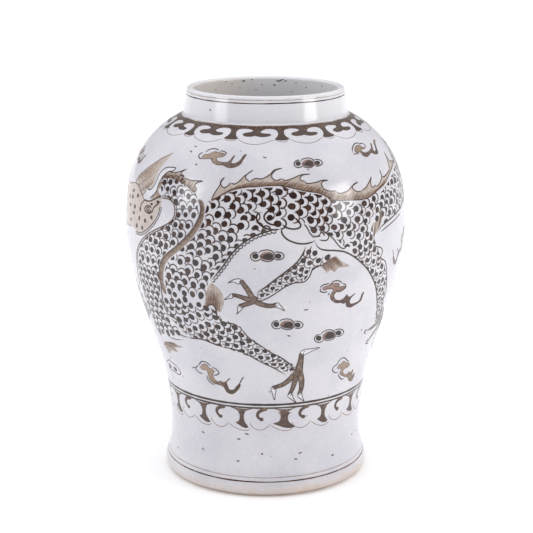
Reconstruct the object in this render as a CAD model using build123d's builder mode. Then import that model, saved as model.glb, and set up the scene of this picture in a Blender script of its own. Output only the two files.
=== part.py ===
from build123d import *

import os
from math import atan2, cos, degrees, radians, sin, sqrt

# Tall shouldered storage jar of glazed stoneware, open at the top, standing on a flared foot.
# It stands along +Z with its axis on the Z axis and the ground at Z = 0. A jar of this size is thrown in
# parts: a foot with the floor in it, a lower wall, a shoulder and a neck collar. Each part is luted to the
# next one with slip in a V joint, which fires into a thin ring, and a glaze coats the outside and the inside.
# All lengths are in millimetres and are those of the fired clay, which the coats of glaze lie on.

# Heights of the outside, each counted from the one before, starting at the ground
foot_edge_round = 10.3
waist_rise = 49.2
belly_rise = 275.5
shoulder_rise = 131.7
neck_rise = 32.7

# Radii of the outside, each counted from the one before, starting at the belly
belly_radius = 177.5
waist_draw_in = 53.9
foot_flare = 8.3
shoulder_reach = 74.6
neck_taper = 4.6

# Arcs of the outside, which all run into each other smoothly; the turns are in degrees
foot_round = 18.0
flank_straight = 78.0
belly_swell_share = 0.48
belly_turn = 12.0
shoulder_turn = 55.0
neck_fillet = 4.0

# Thickness of the clay
wall = 9.5
lip_wall = 7.3
floor_thickness = 11.5
floor_fillet = 16.0
bore_fillet = 6.0
lip_round_share = 0.46

# Underside
foot_land = 15.0
recess_depth = 8.0
recess_chamfer = 2.0

# Luted joints: a V tongue with slip round it, and a coil of clay pressed over the seam inside
waist_joint_rise = 52.0
belly_joint_drop = 38.0
neck_joint_rise = 6.0
slip = 0.8
tongue_width = 5.0
tongue_depth = 3.0
seam_width = 11.0
seam_swell = 1.6
seam_score = 1.2

# Glaze
glaze = 0.6
bare_foot = 4.0

# Room for cuts that run past a face
overrun = 20.0

# Places that follow from the sizes above
waist_height = foot_edge_round + waist_rise
belly_height = waist_height + belly_rise
neck_foot_height = belly_height + shoulder_rise
rim_height = neck_foot_height + neck_rise
waist_radius = belly_radius - waist_draw_in
foot_radius = waist_radius + foot_flare
neck_foot_radius = belly_radius - shoulder_reach
rim_radius = neck_foot_radius - neck_taper
bore_radius = rim_radius - lip_wall
standing_radius = foot_radius - foot_edge_round
recess_radius = standing_radius - foot_land
floor_height = recess_depth + floor_thickness


class Swing:
    """One arc of the wall's outline, about a centre, between two angles; hollow where it bends inward."""

    def __init__(self, centre, radius, start, end, hollow=False):
        self.centre = centre
        self.radius = radius
        self.start = start
        self.end = end
        self.hollow = hollow

    def radius_at(self, depth):
        return self.radius + depth if self.hollow else self.radius - depth

    def point(self, angle, depth):
        across = self.centre[0] + self.radius_at(depth) * cos(radians(angle))
        return (across, self.centre[1] + self.radius_at(depth) * sin(radians(angle)))

    def draw(self, depth):
        CenterArc(self.centre, self.radius_at(depth), self.start, self.end - self.start)

    def reach(self, height, depth):
        """Distance from the axis at a height."""
        across = sqrt(self.radius_at(depth) ** 2 - (height - self.centre[1]) ** 2)
        return self.centre[0] - across if self.hollow else self.centre[0] + across


def joined_radii(step_out, rise, straight):
    """Sum of the radii of two arcs, upright at their far ends, that a straight run joins smoothly."""
    return (step_out**2 + rise**2 - straight**2) / (2 * step_out)


def joined_turn(step_out, rise, straight):
    """How far, in degrees, each of those two arcs turns."""
    both_radii = joined_radii(step_out, rise, straight)
    return degrees(atan2(rise, both_radii - step_out) - atan2(straight, both_radii))


def side_arcs():
    """The arcs of the outside, from the standing edge up to the neck's foot."""
    foot_angle = joined_turn(foot_flare, waist_rise, 0)
    ankle_radius = joined_radii(foot_flare, waist_rise, 0) - foot_round
    flank_angle = joined_turn(waist_draw_in, belly_rise, flank_straight)
    flank_sum = joined_radii(waist_draw_in, belly_rise, flank_straight)
    swell_radius = flank_sum * belly_swell_share
    sweep_radius = flank_sum - swell_radius

    # The belly's upper arc and the shoulder's arc together cover the way to the neck's foot
    turn_end = belly_turn + shoulder_turn
    belly_in, belly_up = 1 - cos(radians(belly_turn)), sin(radians(belly_turn))
    shoulder_in = cos(radians(belly_turn)) - cos(radians(turn_end))
    shoulder_up = sin(radians(turn_end)) - sin(radians(belly_turn))
    spread = belly_up * shoulder_in - belly_in * shoulder_up
    crown_radius = (shoulder_rise * shoulder_in - shoulder_reach * shoulder_up) / spread
    shoulder_radius = (shoulder_reach * belly_up - shoulder_rise * belly_in) / spread
    crown_centre = (belly_radius - crown_radius, belly_height)
    shoulder_centre = (
        crown_centre[0] + (crown_radius - shoulder_radius) * cos(radians(belly_turn)),
        crown_centre[1] + (crown_radius - shoulder_radius) * sin(radians(belly_turn)),
    )
    return [
        Swing((foot_radius - foot_edge_round, foot_edge_round), foot_edge_round, -90, 0),
        Swing((foot_radius - foot_round, foot_edge_round), foot_round, 0, foot_angle),
        Swing((waist_radius + ankle_radius, waist_height), ankle_radius, 180 + foot_angle, 180, True),
        Swing((waist_radius + sweep_radius, waist_height), sweep_radius, 180, 180 - flank_angle, True),
        Swing((belly_radius - swell_radius, belly_height), swell_radius, -flank_angle, 0),
        Swing(crown_centre, crown_radius, 0, belly_turn),
        Swing(shoulder_centre, shoulder_radius, belly_turn, turn_end),
    ]


side = side_arcs()
waist_sweep, belly_swell = side[3], side[4]


def flank_ends(depth):
    """The two ends of the straight run between the waist's arc and the belly's."""
    return waist_sweep.point(waist_sweep.end, depth), belly_swell.point(belly_swell.start, depth)


def wall_reach(height, depth):
    """Distance from the axis to the side of the jar, at a height and at a depth below the outside."""
    low, high = flank_ends(depth)
    if low[1] < height < high[1]:
        return low[0] + (high[0] - low[0]) * (height - low[1]) / (high[1] - low[1])
    for swing in side[1:]:
        if height <= swing.point(swing.end, depth)[1]:
            return swing.reach(height, depth)
    return bore_radius


# The jar's section as one solid, from the axis out to its side
with BuildSketch() as solid_section:
    with BuildLine():
        for swing in side:
            swing.draw(0)
        Line(*flank_ends(0))
        Polyline(
            (neck_foot_radius, neck_foot_height),
            (rim_radius, rim_height),
            (0, rim_height),
            (0, 0),
            (standing_radius, 0),
        )
    make_face()
    neck_corner = solid_section.vertices().sort_by_distance((neck_foot_radius, neck_foot_height))[0]
    fillet(neck_corner, neck_fillet)

# The hollow inside, which follows the outside at the depth of the wall
with BuildSketch() as hollow:
    shoulder = side[-1]
    crest = Swing(shoulder.centre, shoulder.radius, shoulder.start, 90)
    top_point = crest.point(90, wall)
    low_point = (foot_radius - wall, foot_edge_round)
    with BuildLine():
        for swing in side[1:-1]:
            swing.draw(wall)
        Line(*flank_ends(wall))
        crest.draw(wall)
        Polyline(top_point, (0, top_point[1]), (0, low_point[1]), low_point)
    make_face()
    with Locations((0, floor_height)):
        Rectangle(
            2 * (belly_radius + overrun),
            rim_height,
            align=(Align.CENTER, Align.MIN),
            mode=Mode.INTERSECT,
        )
    fillet(hollow.vertices().group_by(Axis.Y)[0].sort_by(Axis.X)[-1], floor_fillet)
    with Locations((0, belly_height)):
        Rectangle(bore_radius, rim_height, align=(Align.MIN, Align.MIN))

# The recess that leaves the foot standing on a ring
with BuildSketch() as recess:
    with BuildLine():
        Polyline(
            (0, -overrun),
            (recess_radius + recess_chamfer + overrun, -overrun),
            (recess_radius, recess_chamfer),
            (recess_radius, recess_depth),
            (0, recess_depth),
            close=True,
        )
    make_face()

# The joints, from the lowest up: the height of each and the middle of the clay there
neck_joint_share = neck_joint_rise / neck_rise
joints = {
    "waist": (waist_height + waist_joint_rise, wall_reach(waist_height + waist_joint_rise, wall / 2)),
    "belly": (belly_height - belly_joint_drop, wall_reach(belly_height - belly_joint_drop, wall / 2)),
    "neck": (
        neck_foot_height + neck_joint_rise,
        (bore_radius + neck_foot_radius - neck_taper * neck_joint_share) / 2,
    ),
}


def below(joint, lift):
    """Everything under a joint's V line, raised by a lift."""
    height, middle = joints[joint]
    far = belly_radius + overrun
    with BuildSketch() as region:
        with BuildLine():
            Polyline(
                (0, -overrun),
                (far, -overrun),
                (far, height + lift),
                (middle + tongue_width / 2, height + lift),
                (middle, height + lift + tongue_depth),
                (middle - tongue_width / 2, height + lift),
                (0, height + lift),
                close=True,
            )
        make_face()
    return region.sketch


def seam_coil(joint):
    """The coil pressed over a seam inside: a low swell on the wall with its root in a scored groove."""
    height = joints[joint][0]
    low = (wall_reach(height - seam_width / 2, wall), height - seam_width / 2)
    high = (wall_reach(height + seam_width / 2, wall), height + seam_width / 2)
    face_reach = wall_reach(height, wall)
    with BuildSketch() as coil:
        with BuildLine():
            ThreePointArc(low, (face_reach - seam_swell, height), high)
            Polyline(high, (face_reach + seam_score, height), low)
        make_face()
    return coil.sketch


# The section of all the clay, with its lip rounded and its seams covered
with BuildSketch() as clay:
    add(solid_section.sketch)
    add(hollow.sketch, mode=Mode.SUBTRACT)
    add(recess.sketch, mode=Mode.SUBTRACT)
    fillet(clay.vertices().group_by(Axis.Y)[-1], lip_wall * lip_round_share)
    bore_corner = clay.vertices().sort_by_distance((bore_radius, neck_foot_height - wall))[0]
    fillet(bore_corner, bore_fillet)
    add(seam_coil("waist"))
    add(seam_coil("belly"))

# The slip of each joint, between its two V lines, together with the coil over its seam
slips = {}
for joint in joints:
    with BuildSketch() as slip_region:
        add(below(joint, slip / 2))
        add(below(joint, -slip / 2), mode=Mode.SUBTRACT)
        if joint != "neck":
            add(seam_coil(joint))
        add(clay.sketch, mode=Mode.INTERSECT)
    slips[joint] = slip_region.sketch


def between(lower_joint, upper_joint):
    """The section of the clay from one joint up to the next, without their slip."""
    with BuildSketch() as region:
        add(clay.sketch)
        if upper_joint:
            add(below(upper_joint, -slip / 2), mode=Mode.INTERSECT)
            add(slips[upper_joint], mode=Mode.SUBTRACT)
        if lower_joint:
            add(below(lower_joint, slip / 2), mode=Mode.SUBTRACT)
            add(slips[lower_joint], mode=Mode.SUBTRACT)
    return region.sketch


os.makedirs("parts", exist_ok=True)

# The foot, turned on the wheel, with the floor and the lowest stretch of wall
with BuildPart() as turned_foot:
    with BuildSketch(Plane.XZ):
        add(between(None, "waist"))
    revolve(axis=Axis.Z)
turned_foot.part.label = "turned_foot"
export_step(turned_foot.part, "parts/turned_foot.step")

# The lower wall, which swells out from the waist to just under the belly's widest place
with BuildPart() as lower_wall:
    with BuildSketch(Plane.XZ):
        add(between("waist", "belly"))
    revolve(axis=Axis.Z)
lower_wall.part.label = "lower_wall"
export_step(lower_wall.part, "parts/lower_wall.step")

# The shoulder, which closes in over the belly to the neck's foot
with BuildPart() as shoulder_wall:
    with BuildSketch(Plane.XZ):
        add(between("belly", "neck"))
    revolve(axis=Axis.Z)
shoulder_wall.part.label = "shoulder_wall"
export_step(shoulder_wall.part, "parts/shoulder_wall.step")

# The neck collar, straight inside and drawn in a little outside, with a rounded lip
with BuildPart() as neck_collar:
    with BuildSketch(Plane.XZ):
        add(between("neck", None))
    revolve(axis=Axis.Z)
neck_collar.part.label = "neck_collar"
export_step(neck_collar.part, "parts/neck_collar.step")

# The rings of slip in the joints
for joint, region in slips.items():
    with BuildPart() as slip_ring:
        with BuildSketch(Plane.XZ):
            add(region)
        revolve(axis=Axis.Z)
    slip_ring.part.label = joint + "_slip"
    export_step(slip_ring.part, "parts/" + joint + "_slip.step")

# The coat of glaze, even all over the clay but for the bare foot and the recess
with BuildSketch() as coat:
    offset(clay.sketch, amount=glaze)
    add(clay.sketch, mode=Mode.SUBTRACT)
    add(recess.sketch, mode=Mode.SUBTRACT)
    with Locations((0, bare_foot)):
        Rectangle(
            foot_radius + overrun,
            bare_foot + overrun,
            align=(Align.MIN, Align.MAX),
            mode=Mode.SUBTRACT,
        )
    Rectangle(overrun, 2 * rim_height + overrun, align=(Align.MAX, Align.CENTER), mode=Mode.SUBTRACT)

# The two coats meet on the middle of the lip, half its wall away from the hollow
with BuildSketch() as inside:
    offset(hollow.sketch, amount=lip_wall / 2)

# The outer glaze, from the bare foot up over the outer half of the lip
with BuildPart() as outer_glaze:
    with BuildSketch(Plane.XZ):
        add(coat.sketch)
        add(inside.sketch, mode=Mode.SUBTRACT)
    revolve(axis=Axis.Z)
outer_glaze.part.label = "outer_glaze"
export_step(outer_glaze.part, "parts/outer_glaze.step")

# The inner glaze, from the lip down the bore and the wall and across the floor
with BuildPart() as inner_glaze:
    with BuildSketch(Plane.XZ):
        add(coat.sketch)
        add(inside.sketch, mode=Mode.INTERSECT)
    revolve(axis=Axis.Z)
inner_glaze.part.label = "inner_glaze"
export_step(inner_glaze.part, "parts/inner_glaze.step")
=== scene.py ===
import bisect
import math
import random

import bpy
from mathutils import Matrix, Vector, noise
from mathutils.geometry import delaunay_2d_cdt


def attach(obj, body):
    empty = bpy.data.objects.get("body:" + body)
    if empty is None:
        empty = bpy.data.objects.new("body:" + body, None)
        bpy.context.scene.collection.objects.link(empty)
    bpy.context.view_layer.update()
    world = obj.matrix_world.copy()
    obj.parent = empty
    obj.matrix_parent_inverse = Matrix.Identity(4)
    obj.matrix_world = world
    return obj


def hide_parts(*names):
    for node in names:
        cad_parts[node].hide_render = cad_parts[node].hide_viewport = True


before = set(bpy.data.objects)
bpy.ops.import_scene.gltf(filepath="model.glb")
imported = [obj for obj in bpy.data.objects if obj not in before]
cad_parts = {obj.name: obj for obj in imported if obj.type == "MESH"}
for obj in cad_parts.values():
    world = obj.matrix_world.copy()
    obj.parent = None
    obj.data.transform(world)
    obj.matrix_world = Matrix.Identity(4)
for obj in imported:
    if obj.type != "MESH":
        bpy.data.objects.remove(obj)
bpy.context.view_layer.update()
mm = 0.001
dice = random.Random(11)

# The fired clay, with the part's own sizes in mm, and the glaze on it
jar = {
    "footEdgeRound": 10.3, "waistRise": 49.2, "bellyRise": 275.5, "shoulderRise": 131.7, "neckRise": 32.7,
    "bellyRadius": 177.5, "waistDrawIn": 53.9, "footFlare": 8.3, "shoulderReach": 74.6, "neckTaper": 4.6,
    "footRound": 18.0, "flankStraight": 78.0, "bellySwellShare": 0.48,
    "bellyTurn": 12.0, "shoulderTurn": 55.0,
    "neckFillet": 4.0, "wall": 9.5, "lipWall": 7.3, "lipRound": 3.36, "boreFillet": 6.0,
    "floorTop": 19.5, "floorFillet": 16.0, "waistJointRise": 52.0, "bellyJointDrop": 38.0,
    "seamWidth": 11.0, "seamSwell": 1.6, "glaze": 0.6, "bareFoot": 4.0,
}

# How the visible coat of glaze differs from an even one
coat = {
    "inset": 0.1,  # it stays this far inside the CAD coat
    "thickness": 0.46,
    "throwing": 0.05,  # rings left by the potter's fingers
    "throwingPitch": 13.0,
    "throwingRun": 260.0,  # how slowly a ring changes on its way round
    "lumps": 0.08,  # slow unevenness
    "lumpSize": 45.0,
    "around": 240,
    "step": 2.9,
    "fineStep": 0.7,  # of the outline on which the painting is placed
    "unpainted": 2.0,  # from the top of the lip down
    "backEvery": 4,  # the side on the clay has one row for so many of the front's
    "narrowest": 0.5,
}

# Where the photograph was taken from, for a picture 533 pixels wide and high
shot = {
    "picture": 533, "distance": 1850.0, "height": 746.76, "down": 0.25453, "focal": 1477.0,
    "axisX": 265.56, "middleY": 266.5, "sensor": 36.0,
    "searchFrom": -260, "searchTo": 120, "stride": 4,  # where sight lines meet the jar, from its axis
}


# Outline of the jar
def joinedRadii(stepOut, rise, straight):
    return (stepOut ** 2 + rise ** 2 - straight ** 2) / (2 * stepOut)


def joinedTurn(stepOut, rise, straight):
    both = joinedRadii(stepOut, rise, straight)
    return math.degrees(math.atan2(rise, both - stepOut) - math.atan2(straight, both))


class Swing:
    # one arc of the side, about a centre, hollow where it bends inward
    # a depth counts inward from the clay's face
    def __init__(self, centre, radius, start, end, hollow=False):
        self.centre, self.radius, self.start, self.end, self.hollow = centre, radius, start, end, hollow

    def spread(self, depth):
        return self.radius + depth if self.hollow else self.radius - depth

    def point(self, angle, depth):
        turn, arm = math.radians(angle), self.spread(depth)
        return (self.centre[0] + arm * math.cos(turn), self.centre[1] + arm * math.sin(turn))

    def reach(self, height, depth):
        across = math.sqrt(max(0.0, self.spread(depth) ** 2 - (height - self.centre[1]) ** 2))
        return self.centre[0] - across if self.hollow else self.centre[0] + across


waistHeight = jar["footEdgeRound"] + jar["waistRise"]
bellyHeight = waistHeight + jar["bellyRise"]


def sideArcs():
    waistRadius = jar["bellyRadius"] - jar["waistDrawIn"]
    footRadius = waistRadius + jar["footFlare"]
    ankle = joinedRadii(jar["footFlare"], jar["waistRise"], 0) - jar["footRound"]
    footTurn = joinedTurn(jar["footFlare"], jar["waistRise"], 0)
    flankSum = joinedRadii(jar["waistDrawIn"], jar["bellyRise"], jar["flankStraight"])
    flankTurn = joinedTurn(jar["waistDrawIn"], jar["bellyRise"], jar["flankStraight"])
    swell = flankSum * jar["bellySwellShare"]
    sweep = flankSum - swell
    low, high = math.radians(jar["bellyTurn"]), math.radians(jar["bellyTurn"] + jar["shoulderTurn"])
    bellyIn, bellyUp = 1 - math.cos(low), math.sin(low)
    shoulderIn, shoulderUp = math.cos(low) - math.cos(high), math.sin(high) - math.sin(low)
    spread = bellyUp * shoulderIn - bellyIn * shoulderUp
    crown = (jar["shoulderRise"] * shoulderIn - jar["shoulderReach"] * shoulderUp) / spread
    shoulder = (jar["shoulderReach"] * bellyUp - jar["shoulderRise"] * bellyIn) / spread
    crownCentre = (jar["bellyRadius"] - crown, bellyHeight)
    offset = crown - shoulder
    shoulderCentre = (crownCentre[0] + offset * math.cos(low), crownCentre[1] + offset * math.sin(low))
    edge = jar["footEdgeRound"]
    return [
        Swing((footRadius - edge, edge), edge, -90, 0),
        Swing((footRadius - jar["footRound"], edge), jar["footRound"], 0, footTurn),
        Swing((waistRadius + ankle, waistHeight), ankle, 180 + footTurn, 180, True),
        Swing((waistRadius + sweep, waistHeight), sweep, 180, 180 - flankTurn, True),
        Swing((jar["bellyRadius"] - swell, bellyHeight), swell, -flankTurn, 0),
        Swing(crownCentre, crown, 0, jar["bellyTurn"]),
        Swing(shoulderCentre, shoulder, jar["bellyTurn"], jar["bellyTurn"] + jar["shoulderTurn"]),
    ]


side = sideArcs()
neckFoot = (jar["bellyRadius"] - jar["shoulderReach"], bellyHeight + jar["shoulderRise"])
rim = (neckFoot[0] - jar["neckTaper"], neckFoot[1] + jar["neckRise"])
boreRadius = rim[0] - jar["lipWall"]


def sweepLine(centre, radius, start, end, step):
    count = max(2, math.ceil(abs(math.radians(end - start)) * radius / step))
    turns = [math.radians(start + (end - start) * i / count) for i in range(count + 1)]
    return [(centre[0] + radius * math.cos(t), centre[1] + radius * math.sin(t)) for t in turns]


def wallReach(height, depth):
    low, high = side[3].point(side[3].end, depth), side[4].point(side[4].start, depth)
    if low[1] < height < high[1]:
        return low[0] + (high[0] - low[0]) * (height - low[1]) / (high[1] - low[1])
    for swing in side[1:]:
        if height <= swing.point(swing.end, depth)[1]:
            return swing.reach(height, depth)
    return boreRadius


def outsideLine(step):
    # the glazed outside, from the bare foot up to the top of the lip
    cover = jar["glaze"]
    start = math.degrees(math.asin((jar["bareFoot"] - jar["footEdgeRound"]) / side[0].spread(-cover)))
    line = sweepLine(side[0].centre, side[0].spread(-cover), start, 0, step / 2)
    for swing in side[1:-1]:
        line += sweepLine(swing.centre, swing.spread(-cover), swing.start, swing.end, step)
    # the fillet in the corner at the neck's foot touches the shoulder's arc and the neck's line
    along = Vector((rim[0] - neckFoot[0], rim[1] - neckFoot[1])).normalized()
    out = Vector((along.y, -along.x))
    shoulder = side[-1]
    fillet = jar["neckFillet"] - cover
    base = Vector(neckFoot) + out * (cover + fillet) - Vector(shoulder.centre)
    far = shoulder.spread(-cover) + fillet
    run = -base.dot(along) + math.sqrt(base.dot(along) ** 2 - base.length_squared + far ** 2)
    middle = Vector(shoulder.centre) + base + along * run
    arm = middle - Vector(shoulder.centre)
    shoulderEnd = math.degrees(math.atan2(arm.y, arm.x))
    line += sweepLine(shoulder.centre, shoulder.spread(-cover), shoulder.start, shoulderEnd, step)
    neckTurn = math.degrees(math.atan2(out.y, out.x))
    line += sweepLine(middle, fillet, shoulderEnd + 180, neckTurn + 180, step / 4)
    lipHeight = rim[1] - jar["lipRound"]
    lipMiddle = (rim[0] - along.x / along.y * jar["lipRound"] - jar["lipRound"] / out.x, lipHeight)
    low = middle - out * fillet
    high = Vector(lipMiddle) + out * (jar["lipRound"] + cover)
    count = math.ceil((high - low).length / step)
    line += [tuple(low.lerp(high, i / count)) for i in range(1, count)]
    line += sweepLine(lipMiddle, jar["lipRound"] + cover, neckTurn, 90, step / 5)
    return thinned(line)


def insideLine(step):
    # on from the top of the lip, down the bore and the wall, and across the floor to the axis
    cover, deep = jar["glaze"], jar["wall"] + jar["glaze"]
    lipMiddle = (boreRadius + jar["lipRound"], rim[1] - jar["lipRound"])
    line = sweepLine(lipMiddle, jar["lipRound"] + cover, 90, 180, step / 5)
    shoulder = side[-1]
    across = boreRadius + jar["boreFillet"]
    reach = shoulder.spread(jar["wall"]) + jar["boreFillet"]
    filletHeight = shoulder.centre[1] + math.sqrt(reach ** 2 - (across - shoulder.centre[0]) ** 2)
    drop = lipMiddle[1] - filletHeight
    count = math.ceil(drop / step)
    line += [(boreRadius - cover, lipMiddle[1] - drop * i / count) for i in range(1, count)]
    turn = math.degrees(math.atan2(shoulder.centre[1] - filletHeight, shoulder.centre[0] - across)) + 360
    line += sweepLine((across, filletHeight), jar["boreFillet"] + cover, 180, turn, step / 3)
    line += sweepLine(shoulder.centre, shoulder.spread(deep), turn - 180, shoulder.start + 0.5, step * 2)
    floor = jar["floorTop"] + cover
    corner = jar["floorFillet"] - cover
    height = line[-1][1] - 2 * step
    seams = (waistHeight + jar["waistJointRise"], bellyHeight - jar["bellyJointDrop"])
    cornerReach = wallReach(floor + corner, deep)
    while height > floor + corner:
        near = min(abs(height - seam) for seam in seams) / (jar["seamWidth"] / 2)
        line.append((wallReach(height, deep) - jar["seamSwell"] * max(0.0, 1 - near ** 2), height))
        height -= step * (0.6 if near < 2 else 2)
    line += sweepLine((cornerReach - corner, floor + corner), corner, 0, -90, step)
    count = math.ceil((cornerReach - corner) / (step * 3))
    line += [((cornerReach - corner) * (1 - i / count), floor) for i in range(1, count)]
    return thinned(line)


def thinned(line):
    # without the points that double at the joints of two arcs
    kept = [line[0]]
    for point in line[1:]:
        if math.hypot(point[0] - kept[-1][0], point[1] - kept[-1][1]) > 0.25:
            kept.append(point)
    return kept


def normals(line):
    found = []
    for i in range(len(line)):
        a, b = line[max(0, i - 1)], line[min(len(line) - 1, i + 1)]
        length = math.hypot(b[0] - a[0], b[1] - a[1])
        found.append(((b[1] - a[1]) / length, -(b[0] - a[0]) / length))
    return found


outside = outsideLine(coat["step"])
inside = insideLine(coat["step"])


# Places on the glazed outside
class Face:
    # looks up the glazed outside by height: distance from the axis and the way it faces
    def __init__(self, line, step=0.5):
        self.step = step
        self.low, self.high = line[0][1], line[-1][1]
        facing = normals(line)
        self.rows = []
        at = 0
        for k in range(int((self.high - self.low) / step) + 1):
            height = self.low + k * step
            while at < len(line) - 2 and line[at + 1][1] < height:
                at += 1
            share = (height - line[at][1]) / (line[at + 1][1] - line[at][1])
            below, above = ((line[n][0], *facing[n]) for n in (at, at + 1))
            self.rows.append([a + (b - a) * share for a, b in zip(below, above)])

    def at(self, height):
        place = min(max((height - self.low) / self.step, 0.0), len(self.rows) - 1.001)
        k = int(place)
        return [a + (b - a) * (place - k) for a, b in zip(self.rows[k], self.rows[k + 1])]


fine = outsideLine(coat["fineStep"])
face = Face([p for p in fine if p[1] < rim[1] - coat["unpainted"]])
leastRise = 0.3  # a mm along the flattest wall still counts as this much height


def hollowOf(reach, angle, height):
    # how far, in mm, the glaze lies below an even coat at a place
    x, y = reach * math.sin(angle), -reach * math.cos(angle)
    run = coat["throwingRun"]
    ring = noise.noise(Vector((x / run, y / run, height / coat["throwingPitch"])))
    lump = noise.noise(Vector((x, y, height)) / coat["lumpSize"] + Vector((7, 3, 1)))
    return coat["inset"] + coat["throwing"] * (1 + ring) + coat["lumps"] * (1 + lump) / 2


def roundAxis(reach, angle, height):
    # a point in metres; the angle in radians counts from the front, to the viewer's right
    return Vector((reach * math.sin(angle), -reach * math.cos(angle), height)) * mm


def place(angle, height, lift=0.0):
    # a point on the glaze
    reach, out, up = face.at(height)
    rise = lift - hollowOf(reach, angle, height)
    return roundAxis(reach + out * rise, angle, height + up * rise)


def inPlace(angle, height, lift=0.0):
    # a point on the glaze of the neck's bore
    across = boreRadius - jar["glaze"]
    return roundAxis(across + (hollowOf(across, angle, height) - lift), angle, height)


def near(spot, across, along):
    # the spot that lies some mm to the right of another, and some mm up the wall from it
    reach, out, _ = face.at(spot[1])
    return (spot[0] + across / reach, min(max(spot[1] + along * max(out, leastRise), face.low), face.high))


def gap(a, b):
    # how far spot b lies to the right of spot a and up the wall from it, in mm
    reach, out, _ = face.at((a[1] + b[1]) / 2)
    return ((b[0] - a[0]) * reach, (b[1] - a[1]) / max(out, leastRise))


def heading(a, b):
    # the way from spot a to spot b, as shares to the right and up the wall
    across, along = gap(a, b)
    length = math.hypot(across, along) or 1e-6
    return across / length, along / length


def headingAt(spots, i):
    return heading(spots[max(0, i - 1)], spots[min(len(spots) - 1, i + 1)])


def swung(x, y, turn):
    return (x * math.cos(turn) - y * math.sin(turn), x * math.sin(turn) + y * math.cos(turn))


eye = Vector((0.0, -shot["distance"], shot["height"]))


def sightLine(x, y):
    # the way from the camera through a pixel of the photograph
    sideways = (x - shot["axisX"]) / shot["focal"]
    upward = (shot["middleY"] - y) / shot["focal"]
    cosDown, sinDown = math.cos(shot["down"]), math.sin(shot["down"])
    return Vector((sideways, cosDown + upward * sinDown, upward * cosDown - sinDown))


def seen(x, y):
    # the spot on the jar that the photograph shows at a pixel; one just off the jar goes to its edge
    ray = sightLine(x, y).normalized()

    def clear(t):
        at = eye + ray * t
        return math.hypot(at.x, at.y) - face.at(at.z)[0]

    t = shot["distance"] + shot["searchFrom"]
    best, bestClear = t, 1e9
    while t < shot["distance"] + shot["searchTo"]:
        found = clear(t)
        if found < bestClear:
            best, bestClear = t, found
        if found < 0:
            low, high = t - shot["stride"], t
            for _ in range(14):
                half = (low + high) / 2
                low, high = (half, high) if clear(half) > 0 else (low, half)
            best = high
            break
        t += shot["stride"]
    at = eye + ray * best
    return (math.atan2(at.x, -at.y), min(max(at.z, face.low), face.high))


def seenInside(x, y):
    # the spot at the back of the neck's bore that the photograph shows at a pixel
    ray = sightLine(x, y)
    flat = ray.x ** 2 + ray.y ** 2
    half = eye.x * ray.x + eye.y * ray.y
    beyond = eye.x ** 2 + eye.y ** 2 - (boreRadius - jar["glaze"]) ** 2
    at = eye + ray * ((-half + math.sqrt(max(half ** 2 - flat * beyond, 0.0))) / flat)
    return (math.atan2(at.x, -at.y), at.z)


print("outline of", len(outside), "and", len(inside), "points")


# Materials
class Wire:
    # a socket that takes sums and products, which add Math nodes
    def __init__(self, finish, socket):
        self.finish, self.socket = finish, socket

    def maths(self, operation, first, second):
        return self.finish.node("ShaderNodeMath", {"operation": operation}, {0: first, 1: second})

    def __add__(self, other):
        return self.maths("ADD", self, other)

    def __radd__(self, other):
        return self.maths("ADD", other, self)

    def __sub__(self, other):
        return self.maths("SUBTRACT", self, other)

    def __rsub__(self, other):
        return self.maths("SUBTRACT", other, self)

    def __mul__(self, other):
        return self.maths("MULTIPLY", self, other)

    def __rmul__(self, other):
        return self.maths("MULTIPLY", other, self)

    def __pow__(self, other):
        return self.maths("POWER", self, other)

    def clamped(self, low, high):
        # 0 up to low, 1 from high on, smooth between
        sockets = {"Value": self, "From Min": low, "From Max": high}
        return self.finish.node("ShaderNodeMapRange", {"interpolation_type": "SMOOTHSTEP"}, sockets)


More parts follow.
